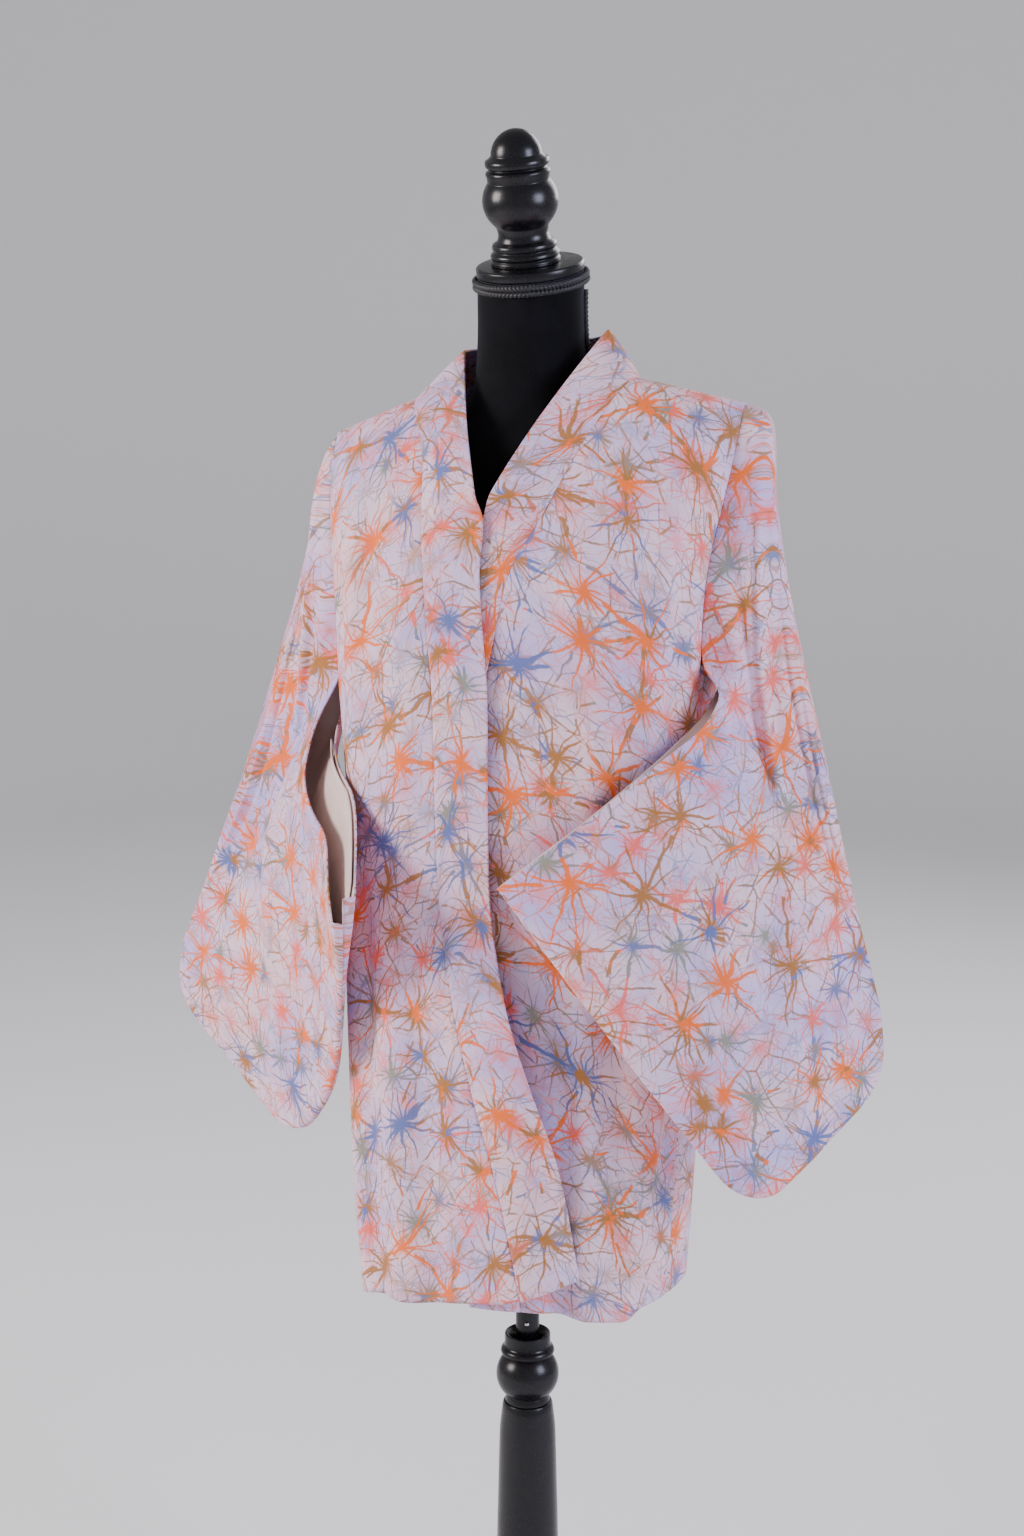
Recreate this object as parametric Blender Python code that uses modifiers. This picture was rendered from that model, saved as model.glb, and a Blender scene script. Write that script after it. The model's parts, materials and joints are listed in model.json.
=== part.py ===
"""A haori, the hip-length Japanese jacket, on a limbless black dress form with a turned stand.

Metres, +Z up, origin on the floor under the middle of the base. The jacket's front faces -Y and
the wearer's left is +X. Cloth pieces are walls built on mid-surfaces: the body on rings round the
form, and each sleeve on a bag that is a rectangle of cloth hung by its armhole seam.
"""
import math

import bmesh
import bpy
from mathutils import Matrix, Vector

for old in list(bpy.data.objects):
    bpy.data.objects.remove(old, do_unlink=True)

# Cloth
CLOTH_WALL = 0.0016        # silk with its lining
BAND_WALL = 0.0024         # the collar is folded double
LINING_WALL = 0.001
SEAM_GAP = 0.0005          # clear space at a seam
LAY_GAP = 0.0035           # mid-surface to mid-surface where cloth lies on cloth
ROUND = 2.5                # exponent of the body's superellipse rings

# Jacket
CHEST_Z = 1.12             # level of the underarms
NECK_X = 0.106             # collar seam at the shoulder
NECK_Z = 1.38
SHOULDER_DROP = 0.31       # fall of the shoulder line for each metre outwards
WORN_TILT = 0.085          # the jacket hangs higher on the wearer's left
SHOULDER_HALF = {"left": 0.2146, "right": 0.1962}
UNDERARM_HALF = 0.1805
ARMHOLE_LENGTH = 0.23
SIGN = {"left": 1.0, "right": -1.0}

# Stand and form
POLE_RADIUS = 0.0117
NECK_RADIUS = 0.0494
NECK_TILT = math.radians(15.0)
NECK_TOP = Vector((0.0, 0.008, 1.484))
FINIAL_STRETCH = 1.035
FINIAL_OFF_CENTRE = Vector((-0.0038, 0.0, 0.0))
TORSO_BOTTOM = 0.64
BASE_RADIUS = 0.19
BASE_HEIGHT = 0.030


def mix(start, end, share):
    return start + (end - start) * share


def ease(share):
    share = min(max(share, 0.0), 1.0)
    return share * share * (3.0 - 2.0 * share)


def read(rows, column, at):
    """Value of a column of a table at a key in its first column, on a smooth curve."""
    keys = [row[0] for row in rows]
    values = [row[column] for row in rows]
    if at <= keys[0]:
        return values[0]
    if at >= keys[-1]:
        return values[-1]
    last = max(i for i, key in enumerate(keys[:-1]) if key <= at)

    def slope(i):
        low, high = max(i - 1, 0), min(i + 1, len(keys) - 1)
        return (values[high] - values[low]) / (keys[high] - keys[low])

    span = keys[last + 1] - keys[last]
    t = (at - keys[last]) / span
    return ((2 * t**3 - 3 * t**2 + 1) * values[last] + (t**3 - 2 * t**2 + t) * span * slope(last)
            + (3 * t**2 - 2 * t**3) * values[last + 1] + (t**3 - t**2) * span * slope(last + 1))


# ---------------------------------------------------------------- objects and materials

def collection_for(name):
    collection = bpy.data.collections.new(name)
    bpy.context.scene.collection.children.link(collection)
    return collection


haori_form = collection_for("haori_on_dress_form")


def material(name, colour, roughness, metallic=0.0):
    made = bpy.data.materials.new(name)
    made.use_nodes = True
    shader = made.node_tree.nodes["Principled BSDF"]
    shader.inputs["Base Color"].default_value = (*colour, 1.0)
    shader.inputs["Roughness"].default_value = roughness
    shader.inputs["Metallic"].default_value = metallic
    return made


SILK = material("figured_silk", (0.74, 0.58, 0.68), 0.75)
LINING_SILK = material("lining_silk", (0.80, 0.60, 0.60), 0.6)
VELVET = material("black_velvet", (0.006, 0.006, 0.008), 0.95)
LACQUER = material("black_lacquered_wood", (0.008, 0.008, 0.012), 0.3)
BRAID = material("black_braid", (0.010, 0.010, 0.014), 0.6)
STEEL = material("bright_steel", (0.6, 0.6, 0.6), 0.3, 1.0)


def add_object(name, mesh, surface):
    made = bpy.data.objects.new(name, mesh)
    haori_form.objects.link(made)
    mesh.materials.append(surface)
    return made


def grid_faces(shape, grid, closed=False):
    """Quads between the rows of a grid of points; a closed grid joins each row's ends."""
    rows = [[shape.verts.new(point) for point in row] for row in grid]
    for low, high in zip(rows, rows[1:]):
        count = len(low)
        for i in range(count if closed else count - 1):
            j = (i + 1) % count
            shape.faces.new((low[i], low[j], high[j], high[i]))
    return rows


def cloth_wall(name, shape, wall, surface):
    """A cloth piece: its mid-surface, welded, facing out, with the wall laid half on each side."""
    bmesh.ops.remove_doubles(shape, verts=shape.verts, dist=0.00005)
    bmesh.ops.recalc_face_normals(shape, faces=shape.faces)
    mesh = bpy.data.meshes.new(name)
    shape.to_mesh(mesh)
    shape.free()
    mesh.shade_smooth()
    made = add_object(name, mesh, surface)
    solid = made.modifiers.new("wall", "SOLIDIFY")
    solid.thickness = wall
    solid.offset = 0.0
    solid.use_even_offset = False
    return made


# ---------------------------------------------------------------- the jacket's body surface

# A level runs from 0 on the shoulder line to 1 at the underarms and 2 at the hem.
# level, half width, front depth, back depth
RINGS = (
    (1.00, UNDERARM_HALF, 0.1240, 0.1120),
    (1.20, 0.1720, 0.1275, 0.1060),
    (1.50, 0.1680, 0.1290, 0.1080),
    (1.80, 0.1640, 0.1260, 0.1130),
    (2.00, 0.1560, 0.1210, 0.1120),
)
# Angles run round the body from 0 at the centre front to +90 at the wearer's left side.
# angle, hem height
HEM_RIGHT = ((-180, 0.505), (-90, 0.489), (-45, 0.511), (-13, 0.524), (0, 0.536), (14, 0.550),
             (32, 0.566))
HEM_LEFT = ((-12, 0.523), (20, 0.526), (50, 0.519), (60, 0.527), (90, 0.528), (180, 0.505))
# level, collar seam x, free edge x on the front that lies on top, the wearer's right
RIGHT_EDGES = ((0.00, -0.1060, -0.1060), (0.20, -0.0760, -0.0760), (0.45, -0.0640, -0.0070),
               (0.67, -0.0560, -0.0020), (1.02, -0.0450, 0.0080), (1.31, -0.0380, 0.0120),
               (1.48, -0.0220, 0.0285), (1.64, -0.0010, 0.0510), (1.80, 0.0230, 0.0740),
               (2.00, 0.0420, 0.0900))
# level, collar seam x, free edge x on the front underneath, the wearer's left
LEFT_EDGES = ((0.00, 0.1060, 0.1060), (0.12, 0.0920, 0.0920), (0.36, 0.0640, 0.0150),
              (0.48, 0.0490, -0.0020), (0.66, 0.0230, -0.0260), (0.93, 0.0070, -0.0420),
              (1.20, -0.0140, -0.0630), (1.50, -0.0120, -0.0610), (2.00, 0.0350, -0.0150))
# The largest folds: where each ridge starts and ends, its spread to each side and its height.
# top level, top angle, bottom level, bottom angle, spread before, spread after, height
RIGHT_FOLDS = (
    (1.22, 2, 2.00, 13, 26, 15, 0.0190),
    (1.05, -58, 2.00, -62, 14, 12, 0.0070),
    (1.10, -30, 2.00, -27, 11, 12, 0.0060),
)
LEFT_FOLDS = (
    (1.35, 71, 2.00, 49, 26, 9, 0.0130),
    (0.45, 33, 1.25, 44, 12, 12, -0.0070),
)
BACK_FOLDS = (
    (0.70, 152, 2.00, 147, 15, 13, 0.0080),
    (0.85, 120, 2.00, 124, 12, 14, 0.0070),
    (0.75, 205, 2.00, 211, 13, 15, 0.0085),
    (0.95, 238, 2.00, 236, 12, 12, 0.0065),
)


def half_width(side, level):
    if level >= 1.0:
        return read(RINGS, 1, level)
    return mix(SHOULDER_HALF[side], UNDERARM_HALF, ease(level))


def depth(level, back):
    """Depth of a ring in front or behind; above the underarms it rounds over the shoulder."""
    if level >= 1.0:
        return read(RINGS, 3 if back else 2, level)
    return (RINGS[0][3] if back else RINGS[0][2]) * math.sqrt(max(1.0 - (1.0 - level)**2, 0.0))


def hem_height(side, angle):
    if side == "right":
        return read(HEM_RIGHT, 1, angle if angle <= 90 else angle - 360)
    return read(HEM_LEFT, 1, angle)


def fold_height(folds, level, angle):
    """Outward lift of the folds at a place, fading in from each fold's top."""
    lift = 0.0
    for top, top_angle, bottom, bottom_angle, before, after, height in folds:
        share = (level - top) / (bottom - top)
        if share <= 0.0:
            continue
        off = angle - mix(top_angle, bottom_angle, min(share, 1.0))
        spread = before if off < 0 else after
        if abs(off) < spread:
            rise = ease(share * 2.2)
            if level > 1.0 or bottom > 1.5:
                fade = 1.0
            else:
                fade = 1.0 - ease(share)
            lift += height * rise * fade * 0.5 * (1.0 + math.cos(math.pi * off / spread))
    return lift


def body_point(side, level, angle, lift=0.0):
    """A point of the jacket's body; lift moves it out along the ring's normal."""
    turn = math.radians(angle)
    back = math.cos(turn) < 0.0
    wide, deep = half_width(side, level), depth(level, back)
    power = 2.0 / ROUND
    sine, cosine = math.sin(turn), math.cos(turn)
    x = wide * math.copysign(abs(sine)**power, sine)
    y = -deep * math.copysign(abs(cosine)**power, cosine)
    if level < 1.0:
        ridge = NECK_Z - (abs(x) - NECK_X) * SHOULDER_DROP
        z = mix(ridge, CHEST_Z, level) + WORN_TILT * x
    else:
        z = mix(CHEST_Z + WORN_TILT * x, hem_height(side, angle), level - 1.0)
    if lift:
        out = Vector((math.copysign(abs(x / wide)**(ROUND - 1) / wide, x),
                      math.copysign(abs(y / max(deep, 0.01))**(ROUND - 1) / max(deep, 0.01), y), 0))
        out.normalize()
        x, y = x + lift * out.x, y + lift * out.y
    return Vector((x, y, z))


def angle_of(side, level, x):
    """The angle whose front point has this x."""
    share = min(abs(x) / half_width(side, level), 1.0)
    return math.copysign(math.degrees(math.asin(share**(ROUND / 2.0))), x)


def side_angle(level):
    """Where the front ends: the armhole above the underarm and the side seam below it."""
    return read(((0.0, 74.0), (0.6, 75.0), (1.0, 80.0), (2.0, 77.5)), 1, level)


# ---------------------------------------------------------------- sleeves
# A sleeve is a rectangle of cloth folded along its top. "Across" runs from the armhole to the
# cuff and "down" from the top fold to the bottom seam. Both are lengths on the flat cloth.

SLEEVE_WIDE = 0.35
SLEEVE_DEEP = 0.50
CUFF_OPEN = 0.23
CORNER_RADIUS = 0.045
FOLD_ROUND = 0.003
ARM_STEPS = (0.0, 0.03, 0.07, 0.115, 0.155, 0.19, 0.215, 0.23)   # down the armhole seam
FURI_STEPS = (0.255, 0.29, 0.33, 0.37, 0.41, 0.445, 0.475, 0.493)  # down the open inner edge

# distance along the edge, x, y, z of the middle of the bag
LEFT_TOP = ((0.00, 0.0, 0.0, 0.0), (0.03, 0.2290, 0.000, 1.3570), (0.055, 0.2340, 0.002, 1.3320),
            (0.10, 0.2350, 0.006, 1.2850), (0.20, 0.2480, 0.022, 1.1850),
            (0.35, 0.2780, 0.038, 1.0400))
LEFT_CUFF = ((0.00, 0.2780, 0.038, 1.0400), (0.14, 0.3060, 0.042, 0.9050),
             (0.28, 0.3380, 0.040, 0.7570), (0.39, 0.3050, -0.030, 0.6980),
             (0.50, 0.2520, -0.102, 0.6420))
LEFT_BOTTOM = ((0.00, 0.0300, -0.162, 0.9430), (0.175, 0.1420, -0.150, 0.8000),
               (0.35, 0.2520, -0.102, 0.6420))
LEFT_FURI = ((0.23, 0.0, 0.0, 0.0), (0.30, 0.1800, -0.060, 1.0850), (0.38, 0.1240, -0.128, 1.0220),
             (0.50, 0.0300, -0.162, 0.9430))
RIGHT_TOP = ((0.00, 0.0, 0.0, 0.0), (0.03, -0.2050, -0.001, 1.3130), (0.10, -0.2190, 0.002, 1.2500),
             (0.20, -0.2500, 0.012, 1.1560), (0.35, -0.3060, 0.030, 1.0150))
RIGHT_CUFF = ((0.00, -0.3060, 0.030, 1.0150), (0.15, -0.3620, 0.055, 0.8820),
              (0.28, -0.4110, 0.072, 0.7520), (0.39, -0.3360, 0.038, 0.6790),
              (0.50, -0.2400, -0.022, 0.6240))
RIGHT_BOTTOM = ((0.00, -0.0960, -0.215, 0.9350), (0.13, -0.1310, -0.143, 0.8300),
                (0.25, -0.1700, -0.082, 0.7150), (0.35, -0.2400, -0.022, 0.6240))
RIGHT_FURI = ((0.23, 0.0, 0.0, 0.0), (0.29, -0.1740, -0.060, 1.0500), (0.38, -0.1330, -0.130, 0.9950),
              (0.50, -0.0960, -0.215, 0.9350))
# How far the front layer's open edge rolls back from the armhole line.
# down, roll back
RIGHT_ROLL = ((0.230, 0.0), (0.262, 0.036), (0.33, 0.044), (0.40, 0.024), (0.46, 0.040),
              (0.50, 0.036))
# Where the bag's front faces, in degrees from -Y towards +X: at the inner edge and at the cuff.
FACING = {"left": (14.0, 34.0), "right": (-54.0, -36.0)}
EDGES = {"left": (LEFT_TOP, LEFT_CUFF, LEFT_BOTTOM, LEFT_FURI),
         "right": (RIGHT_TOP, RIGHT_CUFF, RIGHT_BOTTOM, RIGHT_FURI)}


def armhole_level(down):
    return min(down / ARMHOLE_LENGTH, 1.0)


def armhole_edge(side, down, back):
    """The body's edge at the armhole seam."""
    level = armhole_level(down)
    angle = SIGN[side] * side_angle(level)
    if back:
        angle = SIGN[side] * 180.0 - angle
    return body_point(side, level, angle)


def armhole_middle(side, down):
    return (armhole_edge(side, down, False) + armhole_edge(side, down, True)) / 2.0


def along(side, edge, at):
    """A point on one edge of the bag; a row of zeros stands for the armhole's own end."""
    rows = [list(row) for row in EDGES[side][edge]]
    if rows[0][1] == 0.0:
        rows[0][1:] = armhole_middle(side, rows[0][0] if edge == 3 else 0.0)
    return Vector([read(rows, column, at) for column in (1, 2, 3)])


def inner_edge(side, down):
    if down <= ARMHOLE_LENGTH:
        return armhole_middle(side, down)
    return along(side, 3, down)


def bag_middle(side, across, down):
    """The middle of the bag: the blend of its four edges over a rectangle."""
    u, v = across / SLEEVE_WIDE, down / SLEEVE_DEEP
    top, bottom = along(side, 0, across), along(side, 2, across)
    inner, cuff = inner_edge(side, down), along(side, 1, down)
    corners = (mix(mix(along(side, 0, 0.0), along(side, 0, SLEEVE_WIDE), u),
                   mix(along(side, 2, 0.0), along(side, 2, SLEEVE_WIDE), u), v))
    return mix(top, bottom, v) + mix(inner, cuff, u) - corners


def bag_facing(side, across, down):
    """Unit vector from the back layer to the front one; at the armhole it is -Y."""
    furi, cuff = FACING[side]
    free = max(ease(across / 0.14), ease((down - ARMHOLE_LENGTH) / 0.16))
    turn = math.radians(mix(furi, cuff, ease(across / SLEEVE_WIDE)) * free)
    return Vector((math.sin(turn), -math.cos(turn), 0.0))


def half_gap(side, across, down, deepest):
    """Half the space between the layers: the armhole's own width, thinning to the bag's edges."""
    share = min(down / deepest, 1.0)
    rounded = math.sqrt(max(1.0 - abs(2.0 * share - 1.0)**6, 0.0))
    belly = 0.0045 + (0.0085 if side == "left" else 0.0095) * math.sin(math.pi * share)**1.5
    flat = 0.0036 + (belly - 0.0036) * rounded
    if down <= ARMHOLE_LENGTH:
        front, rear = armhole_edge(side, down, False), armhole_edge(side, down, True)
        inner = (rear.y - front.y) / 2.0
    else:
        low = armhole_edge(side, ARMHOLE_LENGTH, False).y
        high = armhole_edge(side, ARMHOLE_LENGTH, True).y
        gape = 0.006 if side == "left" else 0.011
        inner = mix((high - low) / 2.0, gape, ease((down - ARMHOLE_LENGTH) / 0.10))
        inner = mix(inner, 0.0036, ease((share - 0.9) / 0.1)) if side == "left" else inner
    return mix(inner, flat, ease(across / 0.13))


def lie_clear(point, clearance):
    """Moves a point outwards until it is clear of the jacket's body."""
    side = "left" if point.x > 0 else "right"
    fall = (CHEST_Z + WORN_TILT * point.x) - point.z
    if fall < -0.02:
        return point
    level = 1.0 + min(max(fall, 0.0) / 0.60, 1.0)
    wide, deep = half_width(side, level), depth(level, point.y > 0)
    near = (abs(point.x / wide)**ROUND + abs(point.y / deep)**ROUND)**(1.0 / ROUND)
    wanted = 1.0 + clearance / 0.13
    if near >= wanted or near < 0.2:
        return point
    moved = point.copy()
    push = mix(1.0, wanted / near, ease((fall + 0.02) / 0.05))
    moved.x *= push
    moved.y *= push
    return moved


def layer_point(side, across, down, deepest, front, inside=0.0):
    """A point on the front or back layer; inside moves it towards the bag's middle."""
    if side == "right" and front and down > ARMHOLE_LENGTH:
        across += read(RIGHT_ROLL, 1, down) * (1.0 - ease(across / 0.16))
    middle = bag_middle(side, across, down)
    gap = half_gap(side, across, down, deepest)
    out = bag_facing(side, across, down) * (1.0 if front else -1.0)
    point = middle + out * (gap - inside)
    clearance = (0.008 + 2.0 * min(gap, 0.009)) if front else (0.008 + inside)
    if side == "right":
        clearance *= 0.8
    free = max(ease(across / 0.05), ease((down - ARMHOLE_LENGTH) / 0.03))
    return mix(point, lie_clear(point, clearance), free)


def deepest_at(across):
    """The bottom seam's place: straight, with a rounded corner at the cuff."""
    past = across - (SLEEVE_WIDE - CORNER_RADIUS)
    if past <= 0.0:
        return SLEEVE_DEEP
    return SLEEVE_DEEP - (CORNER_RADIUS - math.sqrt(max(CORNER_RADIUS**2 - past**2, 0.0)))


def down_steps(across):
    """Places down the cloth: the inner edge's steps, fitted to this station's depth."""
    deepest = deepest_at(across)
    return [step * deepest / SLEEVE_DEEP for step in ARM_STEPS + FURI_STEPS] + [deepest]


ACROSS_STEPS = (0.0, 0.012, 0.03, 0.055, 0.085, 0.12, 0.16, 0.20, 0.24, 0.275, 0.305, 0.325,
                0.339, 0.3475)


def sleeve(side):
    """Front and back layers with common folds, the armhole end open, the cuff sewn below."""
    shape = bmesh.new()
    grid = []
    start = 2.0 * SEAM_GAP + CLOTH_WALL / 2.0
    for across in ACROSS_STEPS:
        deepest = deepest_at(across)
        steps = down_steps(across)
        across = max(across, start)
        front = [layer_point(side, across, step, deepest, True) for step in steps]
        rear = [layer_point(side, across, step, deepest, False) for step in steps]
        top = (front[0] + rear[0]) / 2.0
        if across > 0.03:
            top += (front[0] - front[1]).normalized() * FOLD_ROUND
        bottom = (front[-1] + rear[-1]) / 2.0 + (front[-1] - front[-2]).normalized() * FOLD_ROUND
        grid.append([top] + front[1:] + [bottom] + rear[:0:-1])
    rows = grid_faces(shape, grid, closed=True)
    cuff = rows[-1]
    count = len(cuff)
    steps = down_steps(ACROSS_STEPS[-1])
    first = next(i for i, step in enumerate(steps) if step >= CUFF_OPEN - 0.001)
    for i in range(first, count // 2):
        j, k = count - i, count - i - 1
        if k > i + 1:
            shape.faces.new((cuff[i], cuff[i + 1], cuff[k], cuff[j]))
        elif k == i + 1:
            shape.faces.new((cuff[i], cuff[i + 1], cuff[j]))
    return cloth_wall(f"sleeve_{side}", shape, CLOTH_WALL, SILK)


def sleeve_lining():
    """The pink lining that shows in the open inner edge of the wearer's right sleeve."""
    shape = bmesh.new()
    inside = CLOTH_WALL + 2.0 * LINING_WALL
    grid = []
    for across in ACROSS_STEPS[:5]:
        grid.append([layer_point("right", max(across, 0.0022), step, SLEEVE_DEEP, False, inside)
                     for step in FURI_STEPS[1:-1]])
    grid_faces(shape, grid)
    return cloth_wall("sleeve_lining_right", shape, LINING_WALL, LINING_SILK)


# ---------------------------------------------------------------- body halves, gussets, collar

SHOULDER_LEVELS = (0.0, 0.03, 0.10, 0.22, 0.38, 0.56, 0.78, 1.0)
LOWER_LEVELS = tuple(1.0 + 0.0835 * i for i in range(1, 12)) + (2.0,)
RIDGE_COLUMNS = 6
BACK_COLUMNS = 5


def front_lift(side, level, angle):
    """Folds of a front, and the space that the two laps leave each other near the middle."""
    if side == "right":
        lap = LAY_GAP * ease((level - 0.30) / 0.25) * ease((angle + 32.0) / 22.0)
        return lap + fold_height(RIGHT_FOLDS, level, angle)
    lap = -LAY_GAP * ease((level - 0.30) / 0.25) * (1.0 - ease((angle - 28.0) / 20.0))
    return lap + fold_height(LEFT_FOLDS, level, angle)


def seam_angle(side, level):
    return angle_of(side, level, read(RIGHT_EDGES if side == "right" else LEFT_EDGES, 1, level))


def edge_point(side, level, back):
    """End of a body row, just inside the armhole seam or the side seam."""
    angle = SIGN[side] * side_angle(level)
    if back:
        angle = SIGN[side] * 180.0 - angle
    point = body_point(side, level, angle)
    if level < 1.0:
        point.x -= SIGN[side] * SEAM_GAP
    else:
        point.y += SEAM_GAP * (1.0 if back else -1.0)
    return point


def neck_back(side, share):
    """The collar seam behind the neck: 0 at the shoulder and 1 at the centre back."""
    turn = share * math.pi / 2.0
    x = NECK_X * math.cos(turn)**0.8
    y = 0.078 * math.sin(turn)
    ridge = NECK_Z - 0.012 * math.sin(turn)
    return Vector((SIGN[side] * x, y, ridge + WORN_TILT * SIGN[side] * x))


def back_row(side, level):
    """Points of a back from the armhole or side seam to the centre-back seam."""
    start = 180.0 - side_angle(level)
    row = []
    count = RIDGE_COLUMNS + BACK_COLUMNS
    for i in range(count + 1):
        share = i / count
        angle = SIGN[side] * mix(start, 180.0, share**0.9)
        around = angle if angle >= 0 else angle + 360.0
        lift = fold_height(BACK_FOLDS, level, around)
        lift *= ease(share / 0.12) * (1.0 - ease((share - 0.86) / 0.14))
        row.append(body_point(side, level, angle, lift))
    row[0] = edge_point(side, level, True)
    middle = row[-1]
    middle.x = SIGN[side] * SEAM_GAP * 0.5
    return row


def back_grid(side):
    """Rows down the back; the top one follows the shoulder line and the neck."""
    ridge = front_ridge(side)
    top = list(ridge)
    for i in range(1, BACK_COLUMNS + 1):
        top.append(neck_back(side, i / BACK_COLUMNS))
    top[-1].x = SIGN[side] * SEAM_GAP * 0.5
    grid = [top]
    chest = back_row(side, 1.0)
    for level in SHOULDER_LEVELS[1:-1]:
        round_over = math.sqrt(1.0 - (1.0 - level)**2)
        row = []
        for high, low in zip(top, chest):
            row.append(Vector((mix(high.x, low.x, ease(level)), mix(high.y, low.y, round_over),
                               mix(high.z, low.z, level))))
        row[0] = edge_point(side, level, True)
        grid.append(row)
    grid += [back_row(side, level) for level in (1.0,) + LOWER_LEVELS]
    return grid


def front_ridge(side):
    """The shoulder line from the armhole to the neck, common to the front and the back."""
    points = []
    start = edge_point(side, 0.0, False)
    for i in range(RIDGE_COLUMNS + 1):
        x = mix(start.x, SIGN[side] * (NECK_X + SEAM_GAP + 0.0008), i / RIDGE_COLUMNS)
        z = NECK_Z - (abs(x) - NECK_X) * SHOULDER_DROP + WORN_TILT * x
        points.append(Vector((x, 0.0, z)))
    return points


def front_grid(side):
    """Rows down the front, whose top row is the shoulder line."""
    ridge = front_ridge(side)[::-1]
    grid = [ridge]
    for level in SHOULDER_LEVELS[1:] + LOWER_LEVELS:
        start = seam_angle(side, level) + SIGN[side] * math.degrees(2.0 * SEAM_GAP / 0.13)
        end = SIGN[side] * side_angle(level)
        row = []
        for i in range(RIDGE_COLUMNS + 1):
            share = i / RIDGE_COLUMNS
            angle = mix(start, end, share**0.92)
            lift = front_lift(side, level, angle) * (1.0 - ease((share - 0.8) / 0.2))
            row.append(body_point(side, level, angle, lift))
        row[-1] = edge_point(side, level, False)
        grid.append(row)
    return grid


def body_half(side):
    """Front and back of one side, one length of cloth over the shoulder."""
    shape = bmesh.new()
    grid_faces(shape, front_grid(side))
    grid_faces(shape, back_grid(side))
    return cloth_wall(f"body_{side}", shape, CLOTH_WALL, SILK)


def gusset(side):
    """The machi: a narrow panel between the side seams, below the underarm."""
    shape = bmesh.new()
    grid = []
    for level in (1.004,) + LOWER_LEVELS:
        start = side_angle(level)
        row = []
        for share in (0.0, 0.33, 0.67, 1.0):
            angle = SIGN[side] * mix(start, 180.0 - start, share)
            row.append(body_point(side, level, angle))
        for point, way in ((row[0], 1.0), (row[-1], -1.0)):
            point.y += way * SEAM_GAP / 2.0
        grid.append(row)
    grid_faces(shape, grid)
    return cloth_wall(f"gusset_{side}", shape, CLOTH_WALL, SILK)


V_POINT = Vector((0.0, -0.128, 1.273))
V_LEVEL = 0.478
NECK_SIDE = {"left": Vector((0.0760, 0.004, 1.4320)), "right": Vector((-0.0640, 0.004, 1.4130))}
NECK_REAR = Vector((0.0, 0.062, 1.4200))
# level down the front, share of the way from the neck's side to the point of the V
V_STEPS = ((0.0, 0.0), (0.03, 0.14), (0.10, 0.30), (0.22, 0.53), (0.38, 0.80), (V_LEVEL, 1.0))


def v_edge(side, share):
    """The collar's free edge from the side of the neck to the point of the V."""
    point = mix(NECK_SIDE[side], V_POINT, share)
    bow = math.sin(math.pi * share)
    return point + Vector((SIGN[side] * -0.001 * bow, -0.012 * bow, 0.0))


def collar_row(side, level):
    """Seam edge, middle and free edge of the collar at one level of a front."""
    table = RIGHT_EDGES if side == "right" else LEFT_EDGES
    start = seam_angle(side, level)
    seam = body_point(side, level, start, front_lift(side, level, start))
    if level >= V_LEVEL:
        end = angle_of(side, level, read(table, 2, level))
        free = body_point(side, level, end, front_lift(side, level, end) + 0.0005)
        half = (start + end) / 2.0
        middle = body_point(side, level, half, front_lift(side, level, half) + 0.0005)
        return [seam, middle, free]
    free = v_edge(side, read(V_STEPS, 1, level))
    free += Vector((0.0, -front_lift(side, level, 0.0), 0.0))
    middle = (seam + free) / 2.0
    out = (free - seam).cross(Vector((0.0, 0.0, 1.0))).normalized()
    out = out if out.y < 0 else -out
    return [seam, middle + out * 0.003, free]


def collar():
    """The eri: one long band, folded double, along both fronts and round the neck."""
    shape = bmesh.new()
    levels = SHOULDER_LEVELS[1:] + LOWER_LEVELS
    grid = [collar_row("left", level) for level in reversed(levels)]
    for side, shares in (("left", (0.0, 0.2, 0.4, 0.6, 0.8, 1.0)), ("right", (0.8, 0.6, 0.4, 0.2, 0.0))):
        for share in shares:
            seam = neck_back(side, share)
            turn = share * math.pi / 2.0
            wide = NECK_SIDE[side].x * math.cos(turn)
            free = Vector((wide, mix(NECK_SIDE[side].y, NECK_REAR.y, math.sin(turn)),
                           mix(NECK_SIDE[side].z, NECK_REAR.z, share)))
            inner = seam.copy()
            inner.x -= SIGN[side] * 0.0012 * math.cos(turn)
            inner.y -= 0.0012 * math.sin(turn)
            inner.z += 0.0022
            grid.append([inner, (seam + free) / 2.0 + Vector((0.0, 0.0, 0.002)), free])
    grid += [collar_row("right", level) for level in levels]
    grid_faces(shape, grid)
    return cloth_wall("collar", shape, BAND_WALL, SILK)


# ---------------------------------------------------------------- dress form and stand

def turned(name, profile, surface, segments=32, place=None):
    """A lathe-turned solid: rows of radius and height, from the top down its outer side."""
    mesh = bpy.data.meshes.new(name)
    shape = bmesh.new()
    points = [shape.verts.new((radius, 0.0, height)) for radius, height in profile]
    for upper, lower in zip(points, points[1:]):
        shape.edges.new((upper, lower))
    bmesh.ops.spin(shape, geom=shape.verts[:] + shape.edges[:], axis=(0, 0, 1), cent=(0, 0, 0),
                   steps=segments, angle=2.0 * math.pi, use_merge=True)
    bmesh.ops.remove_doubles(shape, verts=shape.verts, dist=0.00002)
    bmesh.ops.recalc_face_normals(shape, faces=shape.faces)
    shape.to_mesh(mesh)
    shape.free()
    mesh.shade_smooth()
    mesh.set_sharp_from_angle(angle=math.radians(40.0))
    made = add_object(name, mesh, surface)
    if place is not None:
        made.matrix_world = place
    return made


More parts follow.
